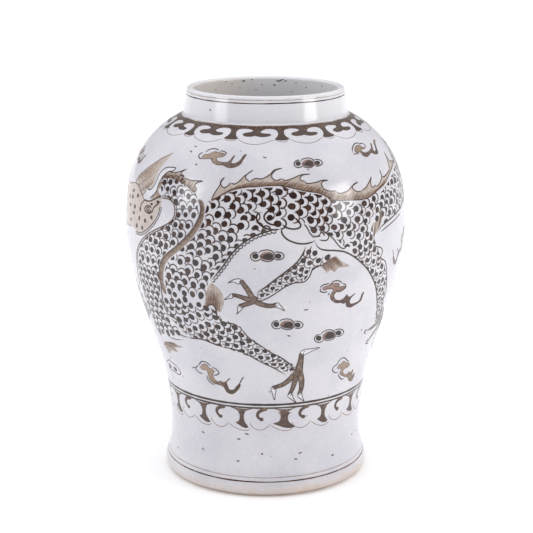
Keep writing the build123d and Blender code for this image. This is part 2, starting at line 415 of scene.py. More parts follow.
class Finish:
    def __init__(self, name, owner=None):
        self.material = owner or bpy.data.materials.new(name)
        self.material.use_nodes = True
        self.tree = self.material.node_tree
        self.tree.nodes.clear()

    def node(self, kind, settings=None, sockets=None, output=0):
        made = self.tree.nodes.new(kind)
        for name, value in (settings or {}).items():
            setattr(made, name, value)
        for name, value in (sockets or {}).items():
            if isinstance(value, Wire):
                self.tree.links.new(value.socket, made.inputs[name])
            else:
                made.inputs[name].default_value = value
        return Wire(self, made.outputs[output]) if len(made.outputs) else made

    def mixed(self, share, first, second):
        colours = {6: first, 7: second}
        colours = {k: v if isinstance(v, Wire) else (*v, 1) for k, v in colours.items()}
        return self.node("ShaderNodeMix", {"data_type": "RGBA"}, {0: share, **colours}, 2)

    def spot(self):
        return self.node("ShaderNodeTexCoord", output=3)

    def cloud(self, size, detail=2.0, roughness=0.5):
        # noise whose lumps are so many mm across
        sockets = {"Vector": self.spot(), "Scale": 1 / (size * mm), "Detail": detail, "Roughness": roughness}
        return self.node("ShaderNodeTexNoise", None, sockets)

    def along(self, axis):
        # how far a place lies along x, y or z, in metres
        return self.node("ShaderNodeSeparateXYZ", None, {0: self.spot()}, "xyz".index(axis))

    def specks(self, pitch, radius, chance, channel):
        # round specks in cells so many mm across, of which only some cells show one
        sockets = {"Vector": self.spot(), "Scale": 1 / (pitch * mm)}
        cells, pick = (self.node("ShaderNodeTexVoronoi", None, sockets, output) for output in (0, 1))
        chosen = self.node("ShaderNodeSeparateColor", None, {0: pick}, channel)
        return (1.0 - cells.clamped(*radius)) * chosen.clamped(*chance)

    def surface(self, colour, roughness, height=None, bumpMm=0.1, **fixed):
        sockets = {"Base Color": colour, "Roughness": roughness}
        if height is not None:
            bump = {"Height": height, "Distance": bumpMm * mm, "Strength": 1.0}
            sockets["Normal"] = self.node("ShaderNodeBump", None, bump)
        sockets = {k: (v if isinstance(v, (Wire, float)) else (*v, 1)) for k, v in sockets.items()}
        shader = self.node("ShaderNodeBsdfPrincipled", None, sockets)
        for name, value in fixed.items():
            shader.socket.node.inputs[name.replace("_", " ")].default_value = value
        self.node("ShaderNodeOutputMaterial", None, {0: shader})
        return self.material


glazeLook = {
    "white": (0.685, 0.67, 0.70),
    "cool": (0.605, 0.59, 0.635),
    "warm": (0.84, 0.79, 0.74),
    # the neck's glaze is painted lighter: painted light standing in for the light that falls on the neck
    "neck": (0.82, 0.81, 0.83), "neckLitHeights": (464.0, 474.0),
    "footBlush": (0.64, 0.53, 0.45), "blushHeights": (3.0, 20.0),
    # the glaze's lowest mm go dark brown: partly the clay at the glaze's thin edge, partly painted shade
    # where the foot turns under to the floor
    "footEdgeAndShade": (0.27, 0.18, 0.13), "edgeShadeHeights": (1.0, 6.5),
    # the bore's near white is painted light: it stands in for the light falling into the neck
    "bore": (0.90, 0.89, 0.90), "boreLightReach": (90.8, 92.5),
    "boreBlush": (0.88, 0.80, 0.70), "boreBlushX": (-55.0, 5.0),
    "reserve": (0.86, 0.85, 0.87),
    "speckle": (0.16, 0.12, 0.11),
    "gloss": 0.13, "bends": 1.52, "waveMm": 0.12,
}
clayGrit = (0.12, 0.06, 0.04)


def glazeGround(finish):
    # the white glaze over bare clay: a cool white with slow clouds, a blush near the foot and fine specks
    slow = finish.cloud(70, 2.0)
    fineCloud = finish.cloud(5, 3.0, 0.6)
    base = finish.mixed(slow.clamped(0.35, 0.7), glazeLook["white"], glazeLook["cool"])
    base = finish.mixed(fineCloud.clamped(0.45, 0.8) * 0.35, base, glazeLook["warm"])
    height = finish.along("z") * 1000.0
    # the neck is painted lighter, as painted light on it
    base = finish.mixed(height.clamped(*glazeLook["neckLitHeights"]) * 0.7, base, glazeLook["neck"])
    low = 1.0 - height.clamped(*glazeLook["blushHeights"])
    right = finish.along("x").clamped(-0.05, 0.1)
    blush = low * (0.4 + right * 0.4 + finish.cloud(22, 2.0).clamped(0.4, 0.7) * 0.6)
    base = finish.mixed(blush, base, glazeLook["footBlush"])
    # darker towards the bottom edge: partly clay showing through, partly painted shade near the floor
    edge = 1.0 - height.clamped(*glazeLook["edgeShadeHeights"])
    base = finish.mixed(edge * 0.9, base, glazeLook["footEdgeAndShade"])
    # iron specks, most of them faint
    large = finish.specks(6.5, (0.04, 0.09), (0.72, 0.98), 0)
    tiny = finish.specks(2.6, (0.05, 0.12), (0.7, 1.0), 1)
    return finish.mixed(large * 0.55 + tiny * 0.28, base, glazeLook["speckle"])


def glazed(finish, base, bends=glazeLook["bends"]):
    # the gloss and the slight waves that all glazed surfaces share
    waves = finish.cloud(9, 2.0, 0.5) * 0.7 + finish.cloud(2.2, 2.0, 0.5) * 0.3
    gloss = glazeLook["gloss"] + finish.cloud(30, 2.0).clamped(0.4, 0.8) * 0.08
    return finish.surface(base, gloss, waves, glazeLook["waveMm"], IOR=bends)


def glazeMaterial():
    finish = Finish("whiteGlaze")
    base = glazeGround(finish)
    # inside the neck the glaze is painted near white, painted light for the light falling into the bore, and
    # it is beige to the viewer's left
    x, y = (finish.along(axis) * 1000.0 for axis in "xy")
    reach = (x * x + y * y) ** 0.5
    bore = 1.0 - reach.clamped(*glazeLook["boreLightReach"])
    base = finish.mixed(bore * 0.9, base, glazeLook["bore"])
    left = 1.0 - x.clamped(*glazeLook["boreBlushX"])
    base = finish.mixed(bore * left * 0.65, base, glazeLook["boreBlush"])
    return glazed(finish, base)


def inkMaterial(name, thin, thick, patch, uneven, bends=glazeLook["bends"]):
    # brush colour under the glaze, from thin to thick by how much the brush held
    finish = Finish(name)
    load = finish.node("ShaderNodeAttribute", {"attribute_name": "load"}, None, 2)
    mottle = finish.cloud(patch, 3.0, 0.6) * 0.65 + finish.cloud(patch * 0.3, 2.0, 0.6) * 0.35
    share = (load + (mottle - 0.5) * uneven).clamped(0.08, 0.92)
    return glazed(finish, finish.mixed(share, thin, thick), bends)


def reserveMaterial():
    # glaze left white inside the painting, a little brighter than the ground
    finish = Finish("reserveWhite")
    return glazed(finish, finish.mixed(0.35, glazeGround(finish), glazeLook["reserve"]))


def clayMaterial(name, light, dark):
    finish = Finish(name)
    grain = finish.cloud(1.4, 4.0, 0.7)
    slow = finish.cloud(28, 2.0)
    base = finish.mixed(slow.clamped(0.35, 0.7), light, dark)
    base = finish.mixed(grain.clamped(0.5, 0.8) * 0.5, base, [c * 0.6 for c in dark])
    cells = finish.node("ShaderNodeTexVoronoi", None, {"Vector": finish.spot(), "Scale": 1 / (4.0 * mm)})
    base = finish.mixed((1.0 - cells.clamped(0.05, 0.12)) * 0.7, base, clayGrit)
    return finish.surface(base, 0.72 + grain * 0.2, grain, 0.25)


looks = {
    "glaze": glazeMaterial(),
    "reserve": reserveMaterial(),
    "ink": inkMaterial("darkInk", (0.16, 0.085, 0.060), (0.028, 0.016, 0.015), 3.0, 1.3),
    "line": inkMaterial("lineInk", (0.25, 0.140, 0.092), (0.046, 0.026, 0.019), 4.0, 1.2),
    "wash": inkMaterial("brownWash", (0.36, 0.26, 0.19), (0.085, 0.050, 0.036), 5.0, 1.9),
    "collar": inkMaterial("collarBrown", (0.30, 0.165, 0.085), (0.05, 0.026, 0.015), 3.5, 2.2, 1.37),
    "russet": inkMaterial("redWash", (0.36, 0.235, 0.19), (0.085, 0.042, 0.034), 5.0, 2.0),
    "tan": inkMaterial("tanWash", (0.55, 0.475, 0.425), (0.29, 0.215, 0.165), 6.0, 1.6),
    "bareClay": clayMaterial("bareClay", (0.50, 0.40, 0.31), (0.38, 0.28, 0.21)),
    "slip": clayMaterial("jointSlip", (0.66, 0.55, 0.44), (0.58, 0.45, 0.35)),
}
print("materials:", len(looks))


# Meshes
def inScene(name, data):
    made = bpy.data.objects.new(name, data)
    bpy.context.scene.collection.objects.link(made)
    return made


def finishPiece(name, verts, faces, look, load=None, sharp=40):
    mesh = bpy.data.meshes.new(name)
    mesh.from_pydata([tuple(v) for v in verts], [], faces)
    mesh.validate()
    mesh.shade_smooth()
    if load:
        layer = mesh.attributes.new("load", "FLOAT", "POINT")
        layer.data.foreach_set("value", load)
    mesh.set_sharp_from_angle(angle=math.radians(sharp))
    mesh.materials.append(looks[look])
    piece = inScene(name, mesh)
    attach(piece, "root")
    return piece


def glazeCoat():
    # one closed skin: outside, lip, bore, wall and floor, then back along the clay
    front = outside + inside[1:]
    skin = list(zip(front, normals(front)))
    back = skin[::-coat["backEvery"]]
    if back[-1][0] != front[0]:
        back.append(skin[0])
    around, last = coat["around"], len(skin) - 1
    rows = [(*row, None) for row in skin] + [(*row, coat["inset"] + coat["thickness"]) for row in back]
    verts, faces = [], []
    for (reach, height), (out, up), depth in rows:
        for k in range(around):
            turn = 2 * math.pi * k / around
            sunk = hollowOf(reach, turn, height) if depth is None else depth
            verts.append(roundAxis(max(reach - out * sunk, coat["narrowest"]), turn, height - up * sunk))
    for i in range(len(rows)):
        j = (i + 1) % len(rows)
        if i == last:
            continue
        for k in range(around):
            m = (k + 1) % around
            faces.append((i * around + k, i * around + m, j * around + m, j * around + k))
    # the floor closes at the axis, on both skins
    for ring, flip in ((last, False), (last + 1, True)):
        middle = len(verts)
        height = sum(verts[ring * around + k].z for k in range(around)) / around
        verts.append(Vector((0, 0, height)))
        for k in range(around):
            a, b = ring * around + k, ring * around + (k + 1) % around
            faces.append((b, a, middle) if flip else (a, b, middle))
    piece = finishPiece("glaze_coat", verts, faces, "glaze", sharp=60)
    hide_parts("outer_glaze", "inner_glaze")


# How high the brush colours stand on the glaze, layer over layer, and how deep they root in it
paint = {"lift": 0.05, "layer": 0.03, "root": -0.04}


class Painting:
    # gathers thin closed patches of brush colour that lie on the glaze, all in one mesh
    def __init__(self, name, look, layer, inside=False):
        self.name, self.look, self.inside = name, look, inside
        self.lift = paint["lift"] + paint["layer"] * layer
        self.verts, self.faces, self.load = [], [], []

    def patch(self, spots, faces, loads):
        # faces run round with their front outward
        first = len(self.verts)
        count = len(spots)
        for lift in (self.lift, paint["root"]):
            for spot, load in zip(spots, loads):
                self.verts.append((inPlace if self.inside else place)(*spot, lift))
                self.load.append(load)
        edges = {}
        if self.inside:
            faces = [tuple(reversed(face)) for face in faces]
        for face in faces:
            self.faces.append(tuple(first + i for i in face))
            self.faces.append(tuple(first + count + i for i in reversed(face)))
            for a, b in zip(face, face[1:] + face[:1]):
                edges[(a, b)] = edges.get((a, b), 0) + 1
        for a, b in edges:
            if (b, a) not in edges:
                self.faces.append((first + b, first + a, first + count + a, first + count + b))

    def stroke(self, spots, width, taper=(0.5, 0.5), load=0.7, fade=0.0):
        # a brush stroke: the width in mm swells from each end over a share of its length
        runs = [0.0]
        for a, b in zip(spots, spots[1:]):
            runs.append(runs[-1] + math.hypot(*gap(a, b)))
        total = runs[-1]
        if total < 0.2:
            return
        left, right, loads = [], [], []
        for i, spot in enumerate(spots):
            across, along = headingAt(spots, i)
            share = runs[i] / total
            swell = 1.0
            if taper[0] > 0 and share < taper[0]:
                swell = share / taper[0]
            if taper[1] > 0 and 1 - share < taper[1]:
                swell = min(swell, (1 - share) / taper[1])
            swell = math.sin(swell * math.pi / 2)
            half = max((width(share) if callable(width) else width) * swell, 0.12) / 2
            left.append(near(spot, -along * half, across * half))
            right.append(near(spot, along * half, -across * half))
            loads.append(load - fade * share)
        count = len(spots)
        faces = [(i, count + i, count + i + 1, i + 1) for i in range(count - 1)]
        self.patch(left + right, faces, loads + loads)

    def dot(self, spot, wide, tall, turn=0.0, load=0.8, sides=10, wobble=0.12):
        # a dab: an uneven oval about a spot
        ring = []
        for k in range(sides):
            angle = 2 * math.pi * k / sides
            uneven = 1 + dice.uniform(-wobble, wobble)
            x, y = wide / 2 * math.cos(angle) * uneven, tall / 2 * math.sin(angle) * uneven
            ring.append(near(spot, *swung(x, y, turn)))
        faces = [(k, (k + 1) % sides, sides) for k in range(sides)]
        self.patch(ring + [spot], faces, [load] * (sides + 1))

    def fill(self, outline, convert, load=0.6, spacing=3.0):
        # an area inside an outline drawn on a flat sheet, which convert lays on the jar
        verts, count = [Vector(p) for p in outline], len(outline)
        edges = [(i, (i + 1) % count) for i in range(count)]
        xs, ys = [v.x for v in verts], [v.y for v in verts]
        y = min(ys) + spacing / 2
        while y < max(ys):
            x = min(xs) + spacing / 2
            while x < max(xs):
                if within((x, y), outline):
                    verts.append(Vector((x, y)))
                x += spacing
            y += spacing
        made, _, faces, _, _, _ = delaunay_2d_cdt(verts, edges, [], 1, 1e-5)
        kept = []
        for face in faces:
            middle = [sum(made[i][k] for i in face) / len(face) for k in (0, 1)]
            if within(middle, outline):
                kept.append(tuple(face))
        spots = [convert(p.x, p.y) for p in made]
        turned = []
        for face in kept:
            a, b, c = (spots[i] for i in face[:3])
            (x1, y1), (x2, y2) = gap(a, b), gap(a, c)
            turned.append(face if x1 * y2 - x2 * y1 > 0 else tuple(reversed(face)))
        used = sorted({i for face in turned for i in face})
        index = {i: k for k, i in enumerate(used)}
        value = load if callable(load) else (lambda x, y: load)
        self.patch(
            [spots[i] for i in used],
            [tuple(index[i] for i in face) for face in turned],
            [value(made[i].x, made[i].y) for i in used],
        )

    def make(self):
        if self.verts:
            finishPiece(self.name, self.verts, self.faces, self.look, self.load)
            print(self.name, len(self.faces), "faces")


def within(point, loop):
    found, x, y = False, *point
    for (x1, y1), (x2, y2) in zip(loop, loop[1:] + loop[:1]):
        if (y1 > y) != (y2 > y) and x < x1 + (x2 - x1) * (y - y1) / (y2 - y1):
            found = not found
    return found


def flowing(points, step=1.0, closed=False):
    # a smooth line through a few points
    count = len(points)
    line = []
    last = count if closed else count - 1
    for i in range(last):
        if closed:
            p0, p1, p2, p3 = (points[(i + k) % count] for k in (-1, 0, 1, 2))
        else:
            p0, p1, p2, p3 = (points[min(max(i + k, 0), count - 1)] for k in (-1, 0, 1, 2))
        pieces = max(1, math.ceil(math.hypot(p2[0] - p1[0], p2[1] - p1[1]) / step))
        for k in range(pieces):
            t = k / pieces
            line.append(tuple(
                0.5 * (2 * b + (c - a) * t + (2 * a - 5 * b + 4 * c - d) * t * t
                       + (3 * b - a - 3 * c + d) * t ** 3)
                for a, b, c, d in zip(p0, p1, p2, p3)
            ))
    if not closed:
        line.append(tuple(points[-1]))
    return line


glazeCoat()
print("coat of glaze is on")


# Ring lines
ringLines = [
    {"height": 495.4, "width": 1.1, "load": 0.45, "look": "tan"},
    {"height": 491.6, "width": 1.3, "load": 0.75, "look": "line"},
    {"height": 466.3, "width": 0.9, "load": 0.35, "look": "tan"},
    {"height": 122.7, "width": 3.1, "load": 0.95, "look": "line"},
    {"height": 118.2, "width": 2.3, "load": 0.9, "look": "line"},
    {"height": 25.7, "width": 1.1, "load": 0.5, "look": "tan"},
    {"height": 20.5, "width": 1.6, "load": 0.5, "look": "line"},
]
ringHand = {"sides": 360, "drift": 0.25, "swell": 0.35, "fade": 0.35}  # how unsteady the hand was


def paintRings():
    brushes = {look: Painting("rings_" + look, look, 0) for look in ("line", "tan")}
    count = ringHand["sides"]
    for ring in ringLines:
        seed = ring["height"]
        left, right, loads = [], [], []
        for k in range(count):
            turn = 2 * math.pi * k / count
            drift = noise.noise(Vector((math.cos(turn) * 3, math.sin(turn) * 3, seed)))
            slow = noise.noise(Vector((math.cos(turn) * 9, math.sin(turn) * 9, seed + 5)))
            half = ring["width"] * (1 + ringHand["swell"] * slow) / 2
            middle = (turn, ring["height"] + ringHand["drift"] * drift)
            left.append(near(middle, 0, half))
            right.append(near(middle, 0, -half))
            loads.append(ring["load"] + ringHand["fade"] * drift)
        faces = [(k, count + k, count + (k + 1) % count, (k + 1) % count) for k in range(count)]
        brushes[ring["look"]].patch(left + right, faces, loads + loads)
    for brush in brushes.values():
        brush.make()


paintRings()


# Collar of cloud heads below the neck, and the scroll band below the waist lines
collar = {
    "units": 13, "first": 8.9, "top": 466.0, "jitter": 0.35, "tall": 1.04, "unitWide": 54.0, "rise": 1.6,
    "brush": 0.75, "lineLoad": 0.45,
    # the lower edge of the dark ground, from one pendant's middle to the next: share of the unit, mm down
    "edge": [(-0.5, 26), (-0.44, 25.8), (-0.36, 24.2), (-0.40, 20.5), (-0.43, 17), (-0.435, 13),
        (-0.425, 10.5), (-0.40, 8.4), (-0.34, 6.8), (-0.26, 6.2), (-0.18, 6.6), (-0.12, 7.6), (-0.09, 9),
        (-0.11, 10.8), (-0.16, 12), (-0.23, 13.2), (-0.29, 15.6), (-0.27, 18.6), (-0.19, 20), (-0.10, 19.6),
        (-0.03, 18.2), (0.03, 19.6), (0.12, 20.6), (0.22, 20), (0.29, 17.6), (0.27, 15.2), (0.18, 14.4),
        (0.11, 13.6), (0.08, 12.2), (0.09, 10.4), (0.12, 8.6), (0.18, 7), (0.27, 6.2), (0.35, 6.8),
        (0.40, 8.4), (0.425, 10.5), (0.435, 13), (0.43, 17), (0.40, 20.5), (0.36, 24.2), (0.44, 25.8),
        (0.5, 26)],
    "scallop": [(-0.36, 22.0), (-0.33, 25.5), (-0.22, 29.5), (-0.05, 31.6), (0.12, 30.6), (0.26, 27.2),
        (0.37, 24.6)],
    "underPendant": [(0.36, 25.0), (0.44, 27.4), (0.53, 28.0), (0.62, 26.0)],
}

waistBand = {
    "units": 15, "first": 10.5, "top": 117.6, "jitter": 0.4, "tall": 1.13, "unitWide": 50.0, "broadest": 2.0,
    "broadFrom": (5, 26), "brush": 0.85, "lineLoad": 0.3,
    "pendant": [(-0.24, 0.0), (0.24, 0.0), (0.2, 1.6), (0.1, 4.2), (0.055, 8), (0.045, 13), (0.06, 17),
        (0.10, 20.5), (0.135, 23.6), (0.08, 25), (0.0, 24), (-0.07, 21.6), (-0.13, 18.8), (-0.07, 17),
        (-0.045, 13), (-0.05, 8), (-0.1, 4.2), (-0.2, 1.6)],
    "hook": [(0.62, 0.6), (0.5, 1.6), (0.405, 4.6), (0.375, 8.2), (0.40, 11.4), (0.465, 13.4)],
    "scallop": [(0.2, 16.5), (0.22, 21), (0.33, 25.2), (0.48, 26.2), (0.62, 22.6), (0.66, 18.8)],
    "underPendant": [(-0.34, 20.0), (-0.2, 24.5), (-0.04, 27.6), (0.12, 27.6), (0.22, 24.6)],
}


def wayDown(top, reach):
    # the heights that lie 0, 1, 2 and more mm down the wall from a height
    heights = [top]
    for _ in range(reach):
        heights.append(heights[-1] - max(face.at(heights[-1])[1], leastRise))
    return heights


def bandSheet(band, unit):
    # lays a sheet of share-of-unit and mm-down on the jar at one unit of a band
    step = 360.0 / band["units"]
    heights = wayDown(band["top"], 50)

    def lay(share, down):
        turn = math.radians(band["first"] + (unit + share) * step)
        unsteady = band["jitter"] * math.sin(share * 9 + unit * 1.7)
        run = max(down * band["tall"] + unsteady, 0.0)
        k = int(run)
        return (turn, heights[k] + (heights[k + 1] - heights[k]) * (run - k))

    return lay


def bandLines(work, band, lay):
    for part in ("scallop", "underPendant"):
        line = [lay(*p) for p in flowing(band[part], 0.03)]
        work.stroke(line, band["brush"], (0.15, 0.15), load=band["lineLoad"])


def paintCollar():
    ground = Painting("collar_ground", "collar", 0)
    lines = Painting("collar_lines", "line", 0)
    wide = collar["unitWide"]
    deep, rise = collar["edge"][0][1], collar["rise"]
    # from the lower edge's end up to the top, back along it and down to the edge's start
    upper = [(0.5, deep - k * rise) for k in range(1, 16)] + [(0.5 - k / 24, 0.3) for k in range(25)]
    upper += [(-0.5, 2 + k * rise) for k in range(15)]
    outline = [(x * wide, y) for x, y in flowing(collar["edge"], 0.8) + upper]
    for unit in range(collar["units"]):
        lay = bandSheet(collar, unit + 0.5)
        ground.fill(outline, lambda x, y: lay(x / wide, y), load=lambda x, y: 0.75 + 0.01 * y)
        bandLines(lines, collar, lay)
    ground.make()
    lines.make()


def paintWaistBand():
    ground = Painting("waist_pendants", "wash", 0)
    lines = Painting("waist_lines", "line", 0)
    wide, (low, high) = waistBand["unitWide"], waistBand["broadFrom"]
    for unit in range(waistBand["units"]):
        lay = bandSheet(waistBand, unit)
        broad = waistBand["broadest"] if unit == 0 else dice.uniform(1.15, 1.6)
        pendant = flowing(waistBand["pendant"], 0.9, closed=True)
        outline = [(x * wide * (broad if low < y < high else 1.0), y) for x, y in pendant]
        ground.fill(outline, lambda x, y: lay(x / wide, y), load=lambda x, y: 0.72 + 0.012 * y)
        hook = [lay(*p) for p in flowing(waistBand["hook"], 0.03)]
        ground.stroke(hook, lambda share: 5.6 - 2.4 * share, (0.12, 0.0), load=0.7, fade=-0.4)
        ground.dot(hook[-1], 6.0, 5.2, load=0.95)
        bandLines(lines, waistBand, lay)
    ground.make()
    lines.make()


paintCollar()
paintWaistBand()


# Lines and areas of the painting, drawn on a sheet that lay puts on the jar
def unrolled(x, y):
    # a sheet rolled round the belly: mm to the viewer's right of the front, and mm above the floor
    return (x / jar["bellyRadius"], y)


def halfway(a, b, share=0.5):
    return (a[0] + (b[0] - a[0]) * share, a[1] + (b[1] - a[1]) * share)


class Path:
    # a line of spots that gives the spot at a share of its length
    def __init__(self, spots):
        self.spots, self.runs = spots, [0.0]
        for a, b in zip(spots, spots[1:]):
            self.runs.append(self.runs[-1] + math.hypot(*gap(a, b)))
        self.length = self.runs[-1]

    def at(self, share):
        run = min(max(share, 0.0), 1.0) * self.length
        k = min(max(bisect.bisect_right(self.runs, run) - 1, 0), len(self.spots) - 2)
        step = self.runs[k + 1] - self.runs[k]
        return halfway(self.spots[k], self.spots[k + 1], (run - self.runs[k]) / step if step > 0 else 0.0)


def drawn(points, lay, step=1.0, closed=False):
    return [lay(x, y) for x, y in flowing(points, step, closed)]


def bandOf(centre, widths, lay):
    # the two edges of a band that follows a line, with its width given along the way
    line = Path(drawn(centre, lay, 3.0))
    edges = ([], [])
    count = 60
    for k in range(count + 1):
        share = k / count
        spot = line.at(share)
        across, along = heading(line.at(share - 0.02), line.at(share + 0.02))
        part = share * (len(widths) - 1)
        n = min(int(part), len(widths) - 2)
        half = (widths[n] + (widths[n + 1] - widths[n]) * (part - n)) / 2
        for edge, way in zip(edges, (1, -1)):
            edge.append(near(spot, -along * half * way, across * half * way))
    return edges


scale = {
    "row": 0.86,  # from one row of scales to the next, in shares of the scales' pitch
    "bow": 0.48, "bowAhead": 0.28, "bowTurn": 104, "bowWidth": 0.125,
    "dab": 0.325, "dabTail": (0.32, 0.6), "crowd": 0.74, "stray": 0.04,
}


def placedScales(edgeA, edgeB, pitches, taken):
    # rows of places that fill a field between two edges; a scale's free end points to where the edges start
    edges = Path(edgeA), Path(edgeB)
    length = max(edge.length for edge in edges)
    placed = []
    run, odd, row = pitches[0] * 0.4, False, 0
    while run < length:
        share = run / length
        pitch = pitches[0] + (pitches[1] - pitches[0]) * share
        a, b = (edge.at(share) for edge in edges)
        fore = [edge.at(share - 0.03) for edge in edges]
        aft = [edge.at(share + 0.03) for edge in edges]
        wide = gap(a, b)
        width = math.hypot(*wide)
        count = max(1, round(width / pitch))
        places = [k / count for k in range(count + 1)] if odd else [(k + 0.5) / count for k in range(count)]
        for at in places:
            spot = near(halfway(a, b, at), *(dice.gauss(0, scale["stray"]) * pitch for _ in "ab"))
            across, along = gap(halfway(*aft, at), halfway(*fore, at))
            turn = math.atan2(along, across) + dice.gauss(0, 0.06)
            size = pitch * dice.uniform(0.93, 1.07)
            crowded = any(
                abs(other[0] - spot[0]) < 0.12 and abs(other[1] - spot[1]) < 12
                and math.hypot(*gap(spot, other)) < scale["crowd"] * (size + room) / 2
                for other, room in taken
            )
            if crowded:
                continue
            taken.append((spot, size))
            ahead = scale["bowAhead"] * size
            way = 1 if across * wide[1] - along * wide[0] > 0 else -1
            placed.append({
                "spot": spot, "turn": turn, "size": size, "row": row,
                "bow": near(spot, ahead * math.cos(turn), ahead * math.sin(turn)),
                "room": ((at - 0.5) * width * way, width / 2),
            })
        run += scale["row"] * pitch
        odd, row = not odd, row + 1
    return placed


# What the dragon and the clouds are painted with, and the layer that each lies in
works = {
    "tan": Painting("dragon_tan_wash", "tan", 0),
    "wash": Painting("dragon_brown_wash", "wash", 1),
    "russet": Painting("cloud_red_wash", "russet", 0.5),
    "white": Painting("dragon_white", "reserve", 2),
    "bow": Painting("scale_bows", "line", 2.5),
    "ink": Painting("dragon_scales", "ink", 1),
    "line": Painting("dragon_lines", "line", 3),
}


def paintScales(edgeA, edgeB, pitches, load, taken):
    placed = placedScales(edgeA, edgeB, pitches, taken)
    for one in placed:
        size, turn = one["size"], one["turn"]
        over = []
        for other in placed:
            if 0 < other["row"] - one["row"] < 4:
                at = gap(one["spot"], other["bow"])
                if math.hypot(*at) < 1.7 * size:
                    over.append((at, other["size"] * scale["bow"]))
        # the bow: from its crown both ways, until a scale that lies over it or the edge of the field
        radius, ahead = scale["bow"] * size, scale["bowAhead"] * size
        offset, half = one["room"]
        sides = []
        for way in (1, -1):
            reach = []
            for k in range(11):
                angle = math.radians(scale["bowTurn"]) * k / 10 * way
                x, y = ahead + radius * math.cos(angle), radius * math.sin(angle)
                at = swung(x, y, turn)
                covered = any(math.hypot(at[0] - c[0], at[1] - c[1]) < r for c, r in over)
                if covered or abs(offset + y) > half + 0.06 * size:
                    break
                reach.append(near(one["spot"], *at))
            sides.append(reach)
        bow = sides[1][:0:-1] + sides[0]
        if len(bow) > 3:
            wide = scale["bowWidth"] * size * dice.uniform(0.8, 1.25)
            works["bow"].stroke(bow, wide, (0.2, 0.2), load=dice.uniform(0.6, 1.0))
        # the dab, cut where a scale lies over it and at the edge of the field
        tail = dice.uniform(*scale["dabTail"])
        ring = []
        for k in range(12):
            angle = 2 * math.pi * k / 12
            across = scale["dab"] * size * dice.uniform(0.93, 1.07)
            long = across if math.cos(angle) > 0 else tail * size
            way = (math.cos(turn + angle), math.sin(turn + angle))
            far = 1 / math.hypot(math.cos(angle) / long, math.sin(angle) / across)
            outward = math.sin(angle)
            if abs(outward) > 0.05:
                far = min(far, max((half - offset * math.copysign(1, outward)) / abs(outward), 0.1))
            for c, r in over:
                run = c[0] * way[0] + c[1] * way[1]
                off = r * r * 1.06 - (c[0] ** 2 + c[1] ** 2 - run * run)
                if run > 0 and off > 0 and run - math.sqrt(off) < far:
                    far = max(run - math.sqrt(off), 0.1)
            ring.append(near(one["spot"], far * way[0], far * way[1]))
        faces = [(k, (k + 1) % 12, 12) for k in range(12)]
        shade = load + dice.uniform(-0.2, 0.2)
        works["ink"].patch(ring + [one["spot"]], faces, [shade + 0.1] * 12 + [shade - 0.08])


def layOut(points, lay):
    # the same outline on the sheet rolled round the belly
    return [(turn * jar["bellyRadius"], height) for turn, height in (lay(x, y) for x, y in points)]


# Kinds of hatching: the colour, then the hairs' pitch, length and width in mm, and their load
hatching = {
    "finGround": ("tan", 1.15, 9, 1.6, 0.8), "finWash": ("wash", 2.3, 11, 1.2, 0.55),
    "finLines": ("line", 3.45, 8, 0.9, 0.5),
    "tuftWash": ("wash", 1.1, 15, 1.1, 0.75), "tuftLines": ("line", 2.6, 13, 0.8, 0.4),
    "maneEdge": ("wash", 1.0, 34, 0.9, 0.4), "maneFoot": ("wash", 1.4, 30, 0.9, 0.5),
    "strip": ("wash", 1.4, 12, 1.1, 0.85), "sash": ("wash", 1.2, 5, 1.0, 0.8),
}


def hatch(kind, outline, line, lay, way):
    # short slanting strokes that start along a line and stay inside an outline
    look, pitch, length, width, load = hatching[kind]
    run = 0.0
    for a, b in zip(line, line[1:]):
        step = math.hypot(b[0] - a[0], b[1] - a[1])
        while run < step:
            x, y = halfway(a, b, run / step)
            reach = length * dice.uniform(0.6, 1.2)
            bend = dice.uniform(-0.05, 0.05)
            stroke = []
            for k in range(9):
                s = reach * k / 8
                aside = s * bend * k / 8
                at = (x + way[0] * s - way[1] * aside, y + way[1] * s + way[0] * aside)
                if k and not within(at, outline):
                    break
                stroke.append(at)
            if len(stroke) > 2:
                broad = width * dice.uniform(0.7, 1.3)
                shade = load + dice.uniform(-0.15, 0.15)
                works[look].stroke([lay(*p) for p in stroke], broad, (0.0, 0.6), shade, 0.2)
            run += pitch * dice.uniform(0.85, 1.15)
        run -= step


def ringRound(middle, radius, step, count):
    # points on a circle, with so many radians from one to the next
    turns = [k * step for k in range(count)]
    return [(middle[0] + radius * math.cos(t), middle[1] + radius * math.sin(t)) for t in turns]


def drawnAbout(middle, lay, size, tilt=0.0, down=1, mirror=1):
    # lays what is drawn in mm about its own middle, scaled and turned
    def at(x, y):
        x, y = swung(x * size * mirror, y * size, tilt)
        return lay(middle[0] + x, middle[1] + down * y)

    return at


# A small cloud: a broad dab between two small ones, each in a ring, in mm about its middle
smallCloud = {
    "broad": [(-7.2, 0.2), (-4, -3.2), (1.4, -4.2), (6, -2.2), (7, 1), (4.4, 4), (-1, 4.1), (-5.8, 2.4)],
    "dark": [(-3.6, 0.4), (0, -2.4), (4, -1.9), (5.6, 0.6), (3.2, 3), (-1.6, 2.6)],
    "sides": [(-11.2, 6.4, 5.8), (11.2, 6.4, 5.4)],  # where each lies, its width and its height
    "rings": [
        [(-8.2, -1.6), (-6, -4.6), (0, -5.9), (5, -4.6), (8, -1.2), (7.6, 2), (4, 5), (0, 5.4), (-4, 4.4),
            (-8, 2)],
        [(-8.4, -3.2), (-12, -3.6), (-15.6, -1), (-15.4, 2.6), (-12, 4.9), (-8, 4.3), (-6, 3)],
        [(7.2, -3.6), (10, -3.9), (14.6, -3), (17, 0), (15, 2.8), (11, 3.9), (7.6, 3)],
    ],
    "brush": 1.35, "spacing": 2.0,
}


